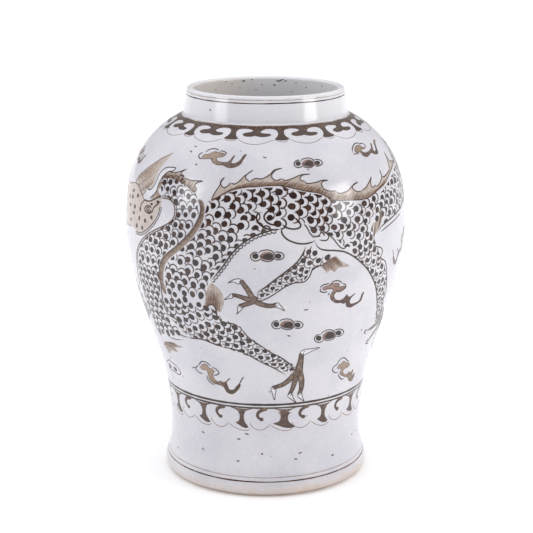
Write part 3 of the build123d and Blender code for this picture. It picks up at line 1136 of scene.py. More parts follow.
def threeBlobs(at):
    spacing = smallCloud["spacing"]
    broad, dark = flowing(smallCloud["broad"], 0.9, True), flowing(smallCloud["dark"], 0.8, True)
    works["russet"].fill(broad, at, load=lambda x, y: 0.78 + 0.1 * y + 0.03 * x, spacing=spacing)
    works["ink"].fill(dark, at, load=0.9, spacing=spacing)
    for x, wide, tall in smallCloud["sides"]:
        turns = [k * math.pi / 6 for k in range(12)]
        blob = [(x + wide / 2 * math.cos(t), 0.2 + tall / 2 * math.sin(t)) for t in turns]
        works["ink"].fill(blob, at, load=0.85, spacing=spacing)
    for ring in smallCloud["rings"]:
        load = dice.uniform(0.75, 0.95)
        works["line"].stroke(drawn(ring, at, 0.8), smallCloud["brush"], (0.12, 0.12), load=load)


# Clouds that trail a forked tail, in mm about their middles
clouds = {
    "tail": {
        "head": [(-22, -3.6), (-19.5, -6), (-14, -7), (-8.5, -9.4), (-4, -8.6), (0.5, -7.8), (2.6, -6),
            (0, -3.9), (-6, -3), (-5.2, 0.4), (-1.6, 1.6), (4.4, 2), (8, 0), (11.6, -4.4), (13.2, -5.2),
            (10, 0.4), (9.4, 3), (14, 2.9), (18.8, 0), (22.4, -5), (25.6, -6.4), (22, -0.6), (18.6, 4.4),
            (12.4, 7.4), (6, 7.6), (0.4, 5), (-5.4, 4.6), (-10.2, 2), (-12.6, -1.8), (-17, -1.8), (-21, -2)],
        "rings": [
            [(-18.2, -8.6), (-14, -11.6), (-8, -12.6), (-3.4, -10.8)],
            [(-3, -9.8), (0.6, -10), (4, -8), (3, -5.4)],
            [(-20.6, -8.6), (-24.6, -6.4), (-24.8, -3), (-21.6, -1.4)],
        ],
    },
    "wave": {
        "head": [(-13.8, -14), (-10, -17), (-5.6, -15.4), (-4, -12), (-0.4, -11), (1.8, -8), (0.6, -4.4),
            (2, 0), (6.6, 4.2), (10, 3.2), (12.8, 5.2), (16.4, 4.4), (18, 8.4), (20.4, 13.4), (25.4, 13.8),
            (29.4, 9.4), (32.6, 6.6), (33.4, 9.6), (29.6, 15), (24, 18.8), (17.6, 16.6), (13.6, 10.4),
            (8, 7.8), (2, 6), (-3, 1.6), (-4.6, -4), (-6.4, -9), (-9.4, -10), (-12.6, -10.8)],
        "rings": [
            [(-16.2, -15.2), (-12.4, -19.8), (-6.2, -18.4), (-1.4, -14)],
            [(-0.6, -13.4), (5.4, -10), (8, -6), (4, -3.4), (1, -4.4)],
            [(-16.4, -15), (-18.8, -13.6), (-19.4, -11), (-16, -7), (-11, -5.4)],
            [(16.6, 4.6), (19.2, 1.8), (21.4, 0.2)], [(32.4, 7), (35, 2), (37.6, -1.8)],
            [(-6.6, -3.6), (-5, 1.8), (-1.2, 6), (3, 8.2)],
        ],
    },
    "scroll": {
        "head": [(-19.1, -5.6), (-16.9, -7.4), (-12.4, -8.3), (-10.6, -9.6), (-5.2, -10.7), (-2.6, -10.5),
            (-2.1, -8.7), (-3.5, -6.9), (2.8, -7.8), (3.5, -6.1), (1, -3.4), (-2.6, -2), (-5.2, -2),
            (-7.5, 1.5), (-7, 4.2), (-5.2, 6), (-1.7, 6.4), (1.4, 5.1), (3.7, 2.9), (5.5, 0.6), (6.4, 2.4),
            (8.6, 2.9), (11.3, 1.1), (13.9, -0.7), (11.3, 2), (9, 4.7), (8.1, 7.8), (9.9, 10), (16.2, 7.8),
            (18.9, 4.7), (20.2, 0.6), (22.4, -2), (21.1, 2), (19.8, 6), (17.1, 8.7), (12.6, 11.4),
            (9.5, 13.1), (6.4, 13.1), (4.6, 11.4), (4.3, 8.7), (1.9, 9.6), (-0.8, 8.7), (-5.2, 8.9),
            (-8.4, 7.3), (-10.6, 5.1), (-11.1, 1.5), (-9.3, -1.6), (-7.9, -4.3), (-12.4, -5.2),
            (-16.9, -3.8), (-18.6, -4.3)],
        "rings": [
            [(-21.1, -5.6), (-20.9, -2.5), (-17.3, -1.6), (-13.7, -2.5)],
            [(-21.1, -5.6), (-19.5, -8.3), (-15.5, -9.8), (-11.5, -10.1)],
            [(-11.1, -9.6), (-7.9, -12.3), (-3.9, -13.4), (-0.8, -12.3), (0.6, -10.7)],
            [(1, -10.5), (3.7, -9.6), (4.3, -6.9), (2.8, -4.7)], [(-12.2, -1.1), (-13.1, 1.5)],
        ],
    },
    "curl": {
        "head": [(-9.9, -0.5), (-9.1, -3.2), (-7.2, -4.7), (-4.5, -4.7), (-2.2, -2.8), (0.1, -2.4),
            (-0.8, -1.1), (-3, -1.1), (-3, 0.7), (-1, 2.2), (1.3, 2.6), (4, 1.5), (5.7, -0.1), (6.9, -2.8),
            (5.9, -6.6), (6.7, -6.8), (8, -2.8), (8.6, -0.5), (10, 1.5), (11.3, 0.3), (10.9, -2.8),
            (9.3, -7.4), (9.5, -10.5), (10.3, -10.3), (10.7, -7), (12.4, -1.2), (13.6, 2.6), (12.4, 4),
            (9.7, 3.8), (7.8, 2.6), (5.7, 3.4), (3.6, 6.1), (1.3, 6.5), (-1.4, 5.3), (-3.7, 2.6),
            (-5.3, 1.8), (-6.4, 3.8), (-7.6, 3.4), (-9.1, 1.5)],
        "rings": [
            [(-11, 3), (-12.2, 0.3), (-11.6, -3.5), (-9.9, -6.2), (-7.2, -7.2), (-4.9, -6.2), (-3, -6.8),
                (-0.3, -5.8), (0.9, -3.5), (0.1, -1.6)],
            [(-11, 3), (-9.7, 4), (-8, 3.8)],
        ],
    },
    "knot": {
        "head": [(-5.7, -2.9), (-4.2, -5.6), (-1.5, -7.5), (0.5, -9.8), (2.4, -8.7), (5.8, -7.9),
            (6.6, -6.4), (5.1, -4.1), (2, -2.5), (0.1, -0.2), (0.1, 2.1), (2.4, 3.6), (4.7, 2.5), (5.8, 0.5),
            (7.4, 1.7), (8.5, 0.5), (9.7, -1.4), (10.1, -0.8), (9.3, 2.1), (8.5, 4), (9.7, 3.6), (11.6, 2.1),
            (11.8, 2.5), (10.8, 5.5), (9.3, 9), (7.4, 10.2), (5.5, 9), (5.1, 6.7), (2.8, 5.9), (0.5, 5.2),
            (-2.2, 3.6), (-3, 1.3), (-1.8, -1), (-2.6, -2.9), (-4.5, -2.2)],
        "rings": [
            [(-4.2, 0.9), (-7.2, 1.7), (-9.9, 0.5), (-10.5, -1.4), (-9.2, -4.1), (-6.1, -6.4), (-3.8, -10.2),
                (-1.5, -12.5), (1.2, -13.2), (3.5, -11.4), (5.1, -9.8), (6.6, -9.1)],
            [(-4.5, 2.8), (-3.8, 5.9), (-1.5, 8.2), (1.2, 7.5)],
        ],
    },
}


def tailedCloud(kind, at, load, look):
    # a cloud that trails a forked tail
    head = flowing(clouds[kind]["head"], 1.0, True)
    works[look].fill(head, at, load=lambda x, y: load + 0.016 * x + 0.022 * y, spacing=2.2)
    works["line"].stroke([at(*p) for p in head + head[:2]], 0.8, (0.02, 0.02), load=0.35 + load * 0.5)
    for ring in clouds[kind]["rings"]:
        works["line"].stroke(drawn(ring, at, 0.8), 1.45, (0.15, 0.15), load=dice.uniform(0.75, 0.95))


# The dragon's front, as pixels of the photograph
dragon = {
    "pixelMm": 1.19,  # a pixel on the belly
    # the two edges of a field, its scales' pitch from start to end, and load
    "scales": [
        (
            [(283, 186.4), (250, 188.8), (233, 191.8), (222, 195.4), (209, 202.4), (205.2, 213),
                (201.8, 224.4), (193.4, 237.6), (181.6, 249.4), (168.6, 260.8), (165, 271), (165.4, 282),
                (167, 297)],
            [(281, 229), (266, 231), (253, 236), (241, 244), (231, 253.6), (223.6, 263), (216, 273),
                (209, 283), (204, 299)],
            (12.2, 12.0), 0.78,
        ),
        (
            [(377, 193), (366, 199.4), (350, 201.4), (336, 201.4), (319, 194.4), (307, 192.4), (295, 190),
                (283, 187)],
            [(355, 247), (345, 246.6), (331, 236), (314, 236), (305, 225), (298, 223), (281, 223)],
            (10.8, 12.2), 0.78,
        ),
        ([(376, 318), (376.4, 290), (371, 276), (362.6, 264), (351, 252.6), (345, 247)],
            [(380, 320), (383.6, 300), (386.4, 280), (383.6, 262), (377, 247), (373, 234), (373, 224)],
            (8.6, 10.4), 0.75),
        ([(396, 161), (392, 175), (386, 185), (380, 196), (375, 206), (371, 220)],
            [(401.5, 170), (404.4, 192), (403, 202), (399.5, 209), (393, 216), (384, 224)], (11.0, 11.4),
            0.78),
        (
            [(293, 373), (279, 369.4), (262, 362.8), (241, 353.2), (222, 347), (203, 340), (190, 336),
                (178, 326), (168, 313), (163.4, 299), (163, 287)],
            [(296, 367), (283, 358.6), (269, 351), (257, 343.4), (245, 334), (238, 326), (226, 322.4),
                (216.6, 313.4), (204.6, 300), (207, 286)],
            (7.4, 12.2), 0.78,
        ),
        ([(258, 294.6), (267, 287), (280, 277), (291, 268.4), (302, 257), (308, 246)],
            [(262, 298.6), (274, 292.4), (290, 284), (303, 281.4), (311, 271.4), (326, 263), (334, 254)],
            (6.4, 9.8), 0.78),
        (
            [(162.6, 179), (161.4, 190), (168, 198), (174.6, 205), (174, 217), (162, 227.6), (147, 236.6),
                (140, 249), (138.4, 262), (139.4, 275), (142.4, 288), (149, 308), (155.4, 325), (160, 336)],
            [(184, 179), (194, 191), (197.6, 204), (196, 217), (188, 232), (176, 244.6), (163, 256),
                (158.6, 268), (159.4, 284), (161.6, 299), (167, 314), (177, 328), (184, 336)],
            (9.8, 12.2), 0.8,
        ),
    ],
    # no scale sits at these places, with their width in mm
    "bare": [(260, 214, 2), (258.4, 218.4, 2), (260.6, 223, 2), (265, 226.2, 2), (271, 228, 2),
        (287, 226, 1), (292, 227, 1)],
    "haunchCurl": (269.6, 217.8),
    # jagged lines, each part from where the one before it ends
    "fin": [
        [(211, 201), (214.1, 193.9), (219.5, 185.6), (221.1, 180.7), (224.8, 177)],
        [(220.9, 182.5), (221.7, 186), (224.3, 187.7), (228.2, 185.6), (230.2, 182.6)],
        [(234.8, 184), (239.8, 180.7), (244.8, 175.7), (253.3, 169.9)],
        [(246.6, 174.9), (245.8, 178.2), (249.5, 181.7)],
        [(255.4, 178.6), (261.4, 179), (266.3, 176.9), (270.5, 174), (274.6, 169.9), (282.5, 168)],
        [(275.8, 170.3), (271.7, 174.9), (273, 179), (277.5, 180.4), (281.6, 178.3)],
        [(285.7, 180.4), (292.9, 178.2), (301.5, 174.7), (310.7, 174)],
        [(303.4, 174.9), (299.9, 178.2), (301.8, 180.9), (304.5, 180.6)],
        [(307.3, 183.4), (316.1, 182.3), (322.2, 180.3), (328.7, 180.2)],
        [(323.2, 181.3), (321.6, 184.2), (324.2, 189), (330.4, 191), (336.2, 190.8)],
        [(338.4, 193), (343, 192.9), (348.4, 190.3), (352.5, 185.9), (358.3, 181.8)],
        [(353.6, 184.6), (352.8, 188.2), (357.2, 191.6), (361.5, 191)],
        [(366, 187.3), (369.4, 181.5), (371.5, 176.4)],
        [(370.7, 182), (372.1, 187), (374.6, 186.1), (375.7, 184.5)],
        [(377.3, 186.1), (380.2, 182.2), (381.7, 176.6), (379.6, 169)],
        [(380.9, 173.6), (383.2, 176.8), (386.6, 174.2), (389.3, 169.6)],
        [(388.9, 165.7), (387.4, 159.8), (384.4, 151.8)], [(387.4, 157.4), (390.6, 161), (395, 160)],
    ],
    "finFoot": [(395, 160), (393.3, 162.3), (392, 167.4), (390.2, 171.9), (387.6, 178.3), (383.8, 184.6),
        (377.4, 190.4), (371, 196.1), (363.4, 199.3), (355, 200), (345, 200.3), (335.3, 200.3),
        (328.3, 197.4), (319.4, 193.1), (307.8, 191.4), (295.4, 188.9), (282.9, 185.8), (270.5, 185.6),
        (258, 186.5), (245.6, 187.3), (233.2, 189.8), (221.6, 195), (211, 202)],
    "neckFin": [
        [(163.4, 177.6), (168.5, 171.9), (174.2, 172.7), (180.6, 171.3), (186.6, 169)],
        [(181.8, 172), (181.2, 175.1), (184.4, 177.6)], [(190.2, 180.2), (196.5, 180.8), (203, 181.1)],
        [(197.6, 182.4), (194.6, 185.6), (197, 189.1)],
    ],
    "neckFinFoot": [(197, 189.1), (193.6, 192), (187, 185.9), (180.6, 181.5), (174.2, 178.6), (168.5, 177.6),
        (163.4, 178.3)],
    "finStrip": [(380.6, 206), (379.4, 214.7), (376.4, 221), (372.2, 224), (374.2, 229), (373, 237),
        (377.3, 231), (381.4, 222.9), (382.6, 213.7)],
    "finStripFoot": [(372.2, 224), (374, 237), (378, 231), (382.6, 213)],
    "sash": [(197.6, 200), (200.6, 209), (197, 221), (188.4, 234), (176, 246), (163, 257.4), (159.4, 268),
        (160, 282), (164, 293), (166.6, 293), (163.6, 282), (163.8, 270), (168, 260), (181, 249), (193, 237),
        (201.4, 224), (204.6, 211), (202.6, 201)],
    "mane": [(135.9, 181.8), (139.1, 175.7), (145.5, 169.6), (153.2, 164), (160.8, 158.9), (167.2, 155.7),
        (173.6, 152.4), (168.4, 158.6), (163.4, 164.2), (160, 168.8), (156.4, 175.8), (153.6, 184),
        (149.6, 188.8), (147, 186.4), (145.5, 191), (142.3, 194.6), (140.2, 190), (139, 185.6)],
    "maneFoot": [(139, 185.6), (142.3, 194), (147, 187), (152, 186)],
    "ribbon": [(146, 187.4), (149.8, 189.8), (153.8, 186), (156.6, 180.6), (158.6, 175.4), (161.8, 171),
        (166, 167.8), (171, 167.2), (175.5, 167.9), (173.6, 170.6), (168.5, 171.7), (164, 175.1),
        (160.8, 179.5), (158.3, 184.8), (156.7, 190.4), (153.8, 194.4), (149.3, 198)],
    "brow": [(144.4, 199), (149, 200.4), (153.6, 198.6), (160.2, 195.4), (160.6, 197.4), (157, 198.6),
        (150.4, 201.6), (144.6, 201)],
    "browWash": [(149.5, 198.2), (153.8, 194.6), (157, 190.2), (161, 186.6), (163.4, 179), (158.6, 184.6),
        (158.4, 192), (160.6, 196), (154.6, 198.4)],
    "face": [(129.6, 186), (131, 182.6), (135.3, 182.7), (138.5, 185.3), (140.4, 190.4), (142.6, 195.4),
        (144.2, 199.6), (150, 200.6), (156, 198.2), (161.2, 196.4), (160.8, 204.4), (158.5, 210.2),
        (155.7, 216.5), (151.9, 223.5), (146.8, 229.3), (141, 231.8), (135.9, 229.9), (131.6, 224),
        (128, 212), (127.6, 200)],
    "ticks": [(137.9, 195.5), (132.8, 196.4), (133.7, 190.4), (130.5, 204.4), (134.7, 206.3), (140.1, 209.2),
        (133.7, 212.7), (139.1, 218.1), (144.9, 220.7), (151.3, 217.5), (142, 227.7), (136.6, 225.5),
        (131, 219), (130, 196)],
    "eye": (147.8, 209.0),
    "eyeMarks": [(151.6, 204.1), (157.6, 201.9)],
    "socket": [
        [(144.4, 200.2), (141.2, 204), (140.2, 209)],
        [(145.2, 210.8), (148.7, 213.4), (152, 211.6), (153.4, 208), (157, 204.6), (160.4, 201)],
    ],
    "pearlLines": [
        [(160.8, 198), (167.2, 198.7), (171.7, 201.2), (174.2, 206.3), (174.5, 212.7), (172.9, 218.4),
            (168.5, 222.9), (161.5, 226.7), (153.2, 230.6), (145.5, 235.7), (139.4, 243.6), (136.6, 252.6),
            (136.6, 262)],
        [(160.2, 206), (158, 214), (153.6, 222), (147.4, 228.8), (141, 232.6), (135.4, 231)],
    ],
    "heavy": [
        [(276.1, 229.8), (265.9, 232), (252.7, 237.1), (240.4, 245.3), (231.2, 254.5), (224.1, 264.7),
            (216.9, 273.9), (210.8, 281)],
        [(282.5, 227.6), (281.6, 231.8), (284.4, 236.9), (290.2, 241), (298.5, 243.6), (306.1, 243.7),
            (312.5, 242), (315.6, 240.2)],
        [(314.6, 240.4), (317, 245.8), (320.8, 249), (326.5, 250.3), (334.8, 250.6), (344, 251.7),
            (352, 255.4), (359.6, 261), (366.6, 268), (371.6, 276), (375, 284), (377, 296), (377, 310),
            (376, 323)],
        [(280, 229.3), (272.3, 229.8), (264.7, 227.8), (258.9, 223.5), (256.4, 218.4), (257.5, 214.4),
            (262.1, 211.8)],
        [(274.6, 215.2), (272.4, 211.6), (268.6, 211.2), (265, 214.2), (264.1, 217.8), (265.9, 221.2),
            (270, 224), (275.5, 225), (281.3, 224.1)],
        [(282, 224.2), (286.4, 227.6), (293.4, 229.1), (299.1, 228), (300.8, 225.2), (299.1, 222.2),
            (295.9, 218.7), (292.4, 216)],
        [(305.9, 246.4), (302.7, 254.4), (296.3, 263.1), (286.8, 271.1), (277.2, 278.3), (266, 287),
            (259.7, 291), (255.9, 295)],
        [(189, 337.8), (195.6, 338.5), (203.5, 339.7), (213.8, 343.9), (221.7, 346.8)],
        [(201.1, 309.2), (205.3, 309.2), (207.7, 306.2), (211.4, 304.4), (215, 307.4), (216.2, 311.7),
            (216.8, 315.3), (219.8, 319.5), (223, 322.6), (229.5, 323.4), (235, 324.6), (241, 328.6)],
        [(160.4, 282), (161.6, 292), (163.6, 304), (168, 314), (175.6, 319), (181.6, 324.6), (183.4, 330)],
        [(401.5, 168), (404.2, 182), (404.4, 192.2), (402.9, 200.4), (399.8, 208.6), (393.7, 215.7),
            (385.5, 222.9), (380.4, 228), (376.3, 234)],
    ],
    "fine": [
        [(304.2, 224.1), (307.7, 228.6), (310.3, 233.7), (314.4, 237.8)],
        [(318.2, 229.6), (323.3, 231.1), (327.5, 234.3), (328.8, 237.5), (326.5, 240.4), (322.1, 240.4),
            (318.9, 239.8)],
        [(326.5, 233.1), (332.9, 238.2), (337.4, 243.9), (341.2, 247.9), (344.4, 248.4), (346.9, 245.8),
            (347.6, 242.6)],
        [(311.9, 245.6), (306.7, 255.9), (299.5, 263.1), (290, 271.1), (282.8, 275.9)],
        [(326.6, 263.9), (318.7, 266.3), (312.3, 270.3), (309.9, 275.9), (304.3, 281.9), (294.7, 283.1),
            (285.2, 287), (275.6, 293.4), (267.6, 298.2), (260.5, 300.8), (256.5, 299), (255.4, 295.6)],
        [(373.6, 240), (375, 245.6), (381.4, 248), (382.4, 252.6), (380.6, 258), (384.6, 260.6),
            (386.4, 266), (386.8, 280), (385.8, 292.2), (383.2, 300), (381.4, 310.6), (379, 322.9)],
        [(400.4, 213), (394.6, 220), (386.6, 227), (380.6, 232)],
        [(241, 328.6), (249, 338), (259.6, 345.2), (271, 352.8), (281, 357.6), (289, 363.6), (294.4, 368.4)],
        [(221.7, 346.8), (236, 350), (252, 357), (262, 362.6), (272.8, 367.6), (280, 371.6), (286, 375)],
        [(155, 311.1), (158, 314.1), (164.1, 317.7), (168.9, 322.6), (172.6, 328.6), (178.6, 334.1),
            (189, 337.8)],
        [(267.2, 220.4), (270.6, 220), (273.4, 218), (274.6, 215.2)], [(136.6, 262), (138, 274), (140, 286)],
    ],
    # area, the line that its hairs start from, and their way
    "tufts": [
        (
            [(321, 266.4), (325, 262.6), (330.4, 258.4), (336.5, 256.5), (341.6, 261.4), (349.4, 265.6),
                (343.2, 267.4), (338.4, 268), (334.6, 272), (331, 270), (327, 273), (324.6, 270)],
            [(321, 266.4), (325, 262.6), (330.4, 258.4), (336.5, 256.8)], (0.62, 0.78),
        ),
        (
            [(204.8, 306.4), (205.4, 296), (207.6, 288), (211.4, 283.2), (216, 286.4), (220.6, 291),
                (223.1, 297), (223.6, 304.5), (220.6, 311.6), (217, 311), (215, 307.4), (211.4, 304.4),
                (207.7, 306)],
            [(206, 306), (207.7, 305.6), (211.4, 303.8), (215, 306.8), (218, 311), (220, 311)], (0.08, -1),
        ),
        (
            [(163.5, 343.2), (168.9, 341.6), (174.4, 343), (178.6, 346), (182.4, 347.4), (174.4, 348),
                (177.4, 352.2), (171.6, 350.6), (168.9, 353), (166.4, 348.6)],
            [(163.5, 343.2), (168.9, 341.8), (174.4, 343.4)], (0.6, 0.8),
        ),
    ],
    # open strokes, with width and load: the chest's hairs and the far hind foot's toes
    "wisps": [
        ([(164, 342), (171, 343.4), (178, 346), (183.6, 347.2)], 2.2, 0.7),
        ([(164, 343.6), (171, 346.4), (178.4, 351.6)], 2.6, 0.6),
        ([(165, 345.4), (168, 349), (170.4, 354)], 2.6, 0.55),
        ([(170, 337.6), (177, 339.6), (184, 340)], 1.6, 0.6),
        ([(380, 318.4), (376.6, 323.4), (371.4, 328), (366.4, 331)], 7.0, 0.95),
        ([(367, 329.4), (364.6, 332), (366, 334)], 2.6, 0.8),
        ([(379, 322), (375.4, 330), (371, 336.4), (366, 344.6)], 6.6, 0.95),
        ([(368.4, 339), (366, 343), (368.4, 343.6)], 2.6, 0.7),
        ([(378, 328), (375.6, 335.4), (373, 342), (371, 350)], 6.0, 0.85),
        ([(382, 320), (379.6, 326), (374, 331.6)], 3.0, 0.95),
    ],
    "palms": [(254.4, 299.8, 9), (298, 371.4, 11), (296, 375, 9)],
    # middle line, width from palm to nail, and the nail
    "toes": [
        ([(253, 299), (247.9, 290.4), (243, 283.6), (240.5, 280)], (6.4, 4.4),
            [(240.3, 279.2), (234.1, 279.6), (228, 283), (233.3, 282), (238.9, 284)]),
        ([(253, 300.4), (246, 298.8), (238.9, 296.4), (231.4, 294.6)], (6.6, 3.0),
            [(231.6, 293.8), (228.4, 296.4), (224.4, 299.6), (229, 298.6), (233, 297.6)]),
        ([(254, 301.6), (248.6, 303.6), (243.6, 305), (238.6, 306.6)], (5.6, 4.2),
            [(237.8, 306.4), (237.8, 310), (236.9, 314), (240.2, 310.8), (243.8, 307)]),
        ([(254, 301), (260, 303.8), (267, 305.8), (273.6, 305.6), (277, 303.6)], (6.4, 4.2),
            [(277.6, 302.8), (281, 306), (284.6, 310.8), (279.6, 308.4), (274.4, 306.8)]),
        ([(298.6, 372), (299.6, 366), (301, 359.4), (301.6, 352.6)], (9.6, 4.2),
            [(300.4, 352), (305.2, 349.5), (311.4, 348.9), (319.6, 347.7), (311.6, 351.4), (303.4, 355)]),
        ([(294.6, 374), (289.8, 379.4), (284, 384), (277.4, 386.6), (271.8, 388)], (6.8, 4.4),
            [(271, 387.8), (272.4, 394), (274.5, 400), (275.2, 394.6), (275.8, 389.4)]),
        ([(297, 374), (295, 381), (292.4, 389), (288.8, 396)], (7.4, 3.2),
            [(287.6, 396), (291.6, 399.6), (296, 402.8), (293.4, 398.4), (291.4, 393)]),
        ([(299.6, 373), (301.6, 381), (301, 389.4), (298.4, 395)], (8, 3.4),
            [(297.6, 395.8), (300.4, 398.8), (304, 401), (302.4, 397), (301.4, 392)]),
    ],
}

# The clouds and specks that the photograph shows, as its pixels
frontClouds = {
    # place, size and tilt
    "blobs": [
        ((307.8, 163), 0.86, -0.03), ((266.8, 256), 1.02, 0.0), ((287, 324.6), 0.95, 0.03),
        ((328.6, 335.4), 0.92, -0.26),
    ],
    # kind, place, size, load and colour
    "tails": [
        ("tail", (222.4, 160.4), 0.94, 0.5, "wash"), ("curl", (364.5, 150.0), 1.0, 0.6, "wash"),
        ("wave", (212.2, 378.2), 0.84, 0.35, "wash"), ("scroll", (341.5, 294.0), 1.0, 0.68, "russet"),
        ("knot", (343.0, 371.0), 1.0, 0.3, "wash"),
    ],
    # at the edges of the view
    "dabs": [
        [(168.6, 363.4), (170, 364), (171.4, 366.6), (171.2, 368), (169.8, 367)],
        [(173.4, 367), (175, 367.4), (177, 370.4), (176.6, 371.6), (174.6, 370)],
    ],
    "ring": [(166.5, 362.2), (168.5, 359.8), (171.5, 362.2), (174.2, 364.1), (177.7, 367.5), (180.4, 372.2),
        (180, 374.5), (177.7, 374.1), (174.6, 371.4), (171.5, 369.5), (168.5, 366)],
    "specks": [(203, 432), (247, 434), (239, 439), (203, 449), (238, 461), (262, 454), (300, 453),
        (296, 459), (333, 455), (352, 434), (289, 336), (361.7, 330), (305.9, 310), (195.3, 146.3),
        (191, 151.5), (196, 164.4), (264.7, 157.4), (201.2, 181.2), (193.8, 367.6), (210, 110)],
    # on the back of the bore, with the length in mm
    "inside": [(281, 80.2, 9), (277.6, 81, 6), (274.4, 85, 5), (244, 81, 6), (285.6, 81, 4), (252, 79.6, 3),
        (296, 83, 2.4), (232, 84, 2.4), (240, 88, 2), (262, 84.6, 2), (306, 87.6, 2.4), (292, 92, 2),
        (216, 90, 2.4), (226, 81.6, 2), (322, 86, 2), (256, 90, 1.8)],
}

# What the photograph doesn't show of the dragon, in the same tradition
# In mm on the sheet rolled round the belly
rest = {
    "bands": [
        {
            "centre": [(646, 398), (636, 352), (606, 304), (562, 270), (516, 262), (472, 284), (432, 326),
                (388, 372), (342, 400), (300, 402), (262, 380)],
            "widths": [5, 16, 23, 28, 34, 40, 46, 52, 58, 64, 72], "pitch": (7.6, 12.2), "fin": 17,
        },
        {
            "centre": [(296, 203), (272, 190), (240, 198), (204, 224)], "widths": [9, 12, 15, 16],
            "pitch": (6.4, 8.2),
        },
        {
            "centre": [(-352, 226), (-331, 204), (-298, 195), (-268, 207), (-242, 226), (-219, 242)],
            "widths": [10, 15, 23, 31, 40, 48], "pitch": (6.6, 11.0),
        },
    ],
    "face": [(-226, 384.5), (-238, 384), (-249, 382.5), (-256, 383.5), (-268, 380), (-284, 371), (-300, 364),
        (-316, 367), (-332, 371), (-345, 365), (-351, 354), (-344, 346), (-330, 343), (-312, 343),
        (-296, 339), (-280, 337), (-262, 334), (-250, 332), (-236, 332), (-214, 333.5), (-205, 340),
        (-210, 356), (-218, 374)],
    "jaw": [(-244, 331), (-262, 325), (-284, 319), (-304, 317), (-322, 321), (-335, 331), (-326, 332),
        (-306, 328), (-286, 331), (-262, 334)],
    "ticks": [(-246, 372), (-258, 376), (-256, 364), (-270, 370), (-268, 357), (-282, 362), (-284, 350),
        (-296, 354), (-246, 350), (-258, 345), (-272, 342), (-310, 352), (-322, 358)],
    # whiskers, horns and tail hair, with width and colour
    "lines": [
        ([(-256, 384), (-270, 399), (-294, 409), (-322, 404)], 5.0, "tan"),
        ([(-268, 381), (-288, 390), (-312, 390), (-336, 380)], 4.4, "tan"),
        ([(-344, 368), (-360, 380), (-372, 402), (-364, 420), (-352, 416)], 1.6, "line"),
        ([(-348, 350), (-366, 346), (-384, 330), (-396, 304), (-388, 288)], 1.6, "line"),
        ([(-300, 333), (-318, 336), (-332, 337), (-342, 334), (-348, 338)], 3.0, "wash"),
        ([(-268, 322), (-276, 306), (-290, 292), (-306, 286)], 3.4, "wash"),
        ([(-284, 319), (-294, 304), (-310, 297)], 2.6, "wash"),
        ([(-254, 324), (-260, 308), (-270, 292), (-284, 280)], 3.0, "wash"),
        ([(646, 398), (655, 418), (650, 440)], 5.0, "tan"),
        ([(645, 396), (668, 408), (676, 428)], 4.0, "tan"),
        ([(645, 394), (634, 414), (622, 426)], 4.0, "tan"),
        ([(-276, 368), (-268, 376), (-258, 374)], 1.4, "line"),
    ],
    "eye": (-283, 366),
    "toes": [
        ([(294, 204), (304, 214), (309, 226)], (6.8, 4.4),
            [(311, 227), (318, 229), (325, 224), (318, 225), (309, 223)]),
        ([(295, 203), (308, 206), (320, 203)], (6.6, 4.0),
            [(321, 205), (328, 203), (333, 196), (326, 198), (319, 200)]),
        ([(294, 201), (304, 192), (315, 184)], (7.0, 4.2),
            [(317, 186), (323, 180), (325, 172), (319, 176), (314, 182)]),
        ([(292, 201), (289, 190), (284, 180)], (6.4, 4.0),
            [(282, 180), (278, 173), (279, 166), (283, 172), (287, 178)]),
        ([(-352, 226), (-352, 240), (-358, 252)], (7.4, 4.4),
            [(-356, 254), (-360, 262), (-368, 266), (-364, 259), (-361, 251)]),
        ([(-353, 227), (-367, 234), (-380, 232)], (7.0, 4.2),
            [(-381, 235), (-390, 234), (-396, 227), (-388, 229), (-380, 229)]),
        ([(-354, 225), (-368, 220), (-378, 211)], (6.6, 4.0),
            [(-380, 213), (-386, 207), (-388, 199), (-382, 203), (-376, 209)]),
        ([(-352, 222), (-355, 211), (-351, 200)], (6.2, 4.0),
            [(-353, 200), (-353, 192), (-347, 186), (-348, 193), (-349, 201)]),
    ],
    "pearl": (-446, 318),
    "blobs": [
        ((356, 322), 1.1, 0.0), ((432, 224), 1.15, 0.1), ((-410, 198), 1.1, 0.0), ((-478, 412), 1.05, -0.1),
        ((560, 362), 1.1, 0.05), ((-336, 292), 0.9, 0.0), ((520, 176), 1.1, 0.0),
    ],
    "tails": [
        ("tail", (462, 412), 1.1, 1), ("wave", (362, 258), 1.0, 1), ("wave", (-476, 240), 1.0, -1),
        ("tail", (-416, 436), 0.95, -1), ("wave", (600, 214), 0.95, 1), ("tail", (348, 168), 0.9, 1),
        ("tail", (-300, 160), 0.9, 1), ("tail", (-508, 172), 0.9, -1), ("tail", (560, 436), 0.9, -1),
        ("tail", (-240, 416), 0.9, 1), ("wave", (235, 306), 1.1, -1),
    ],
}

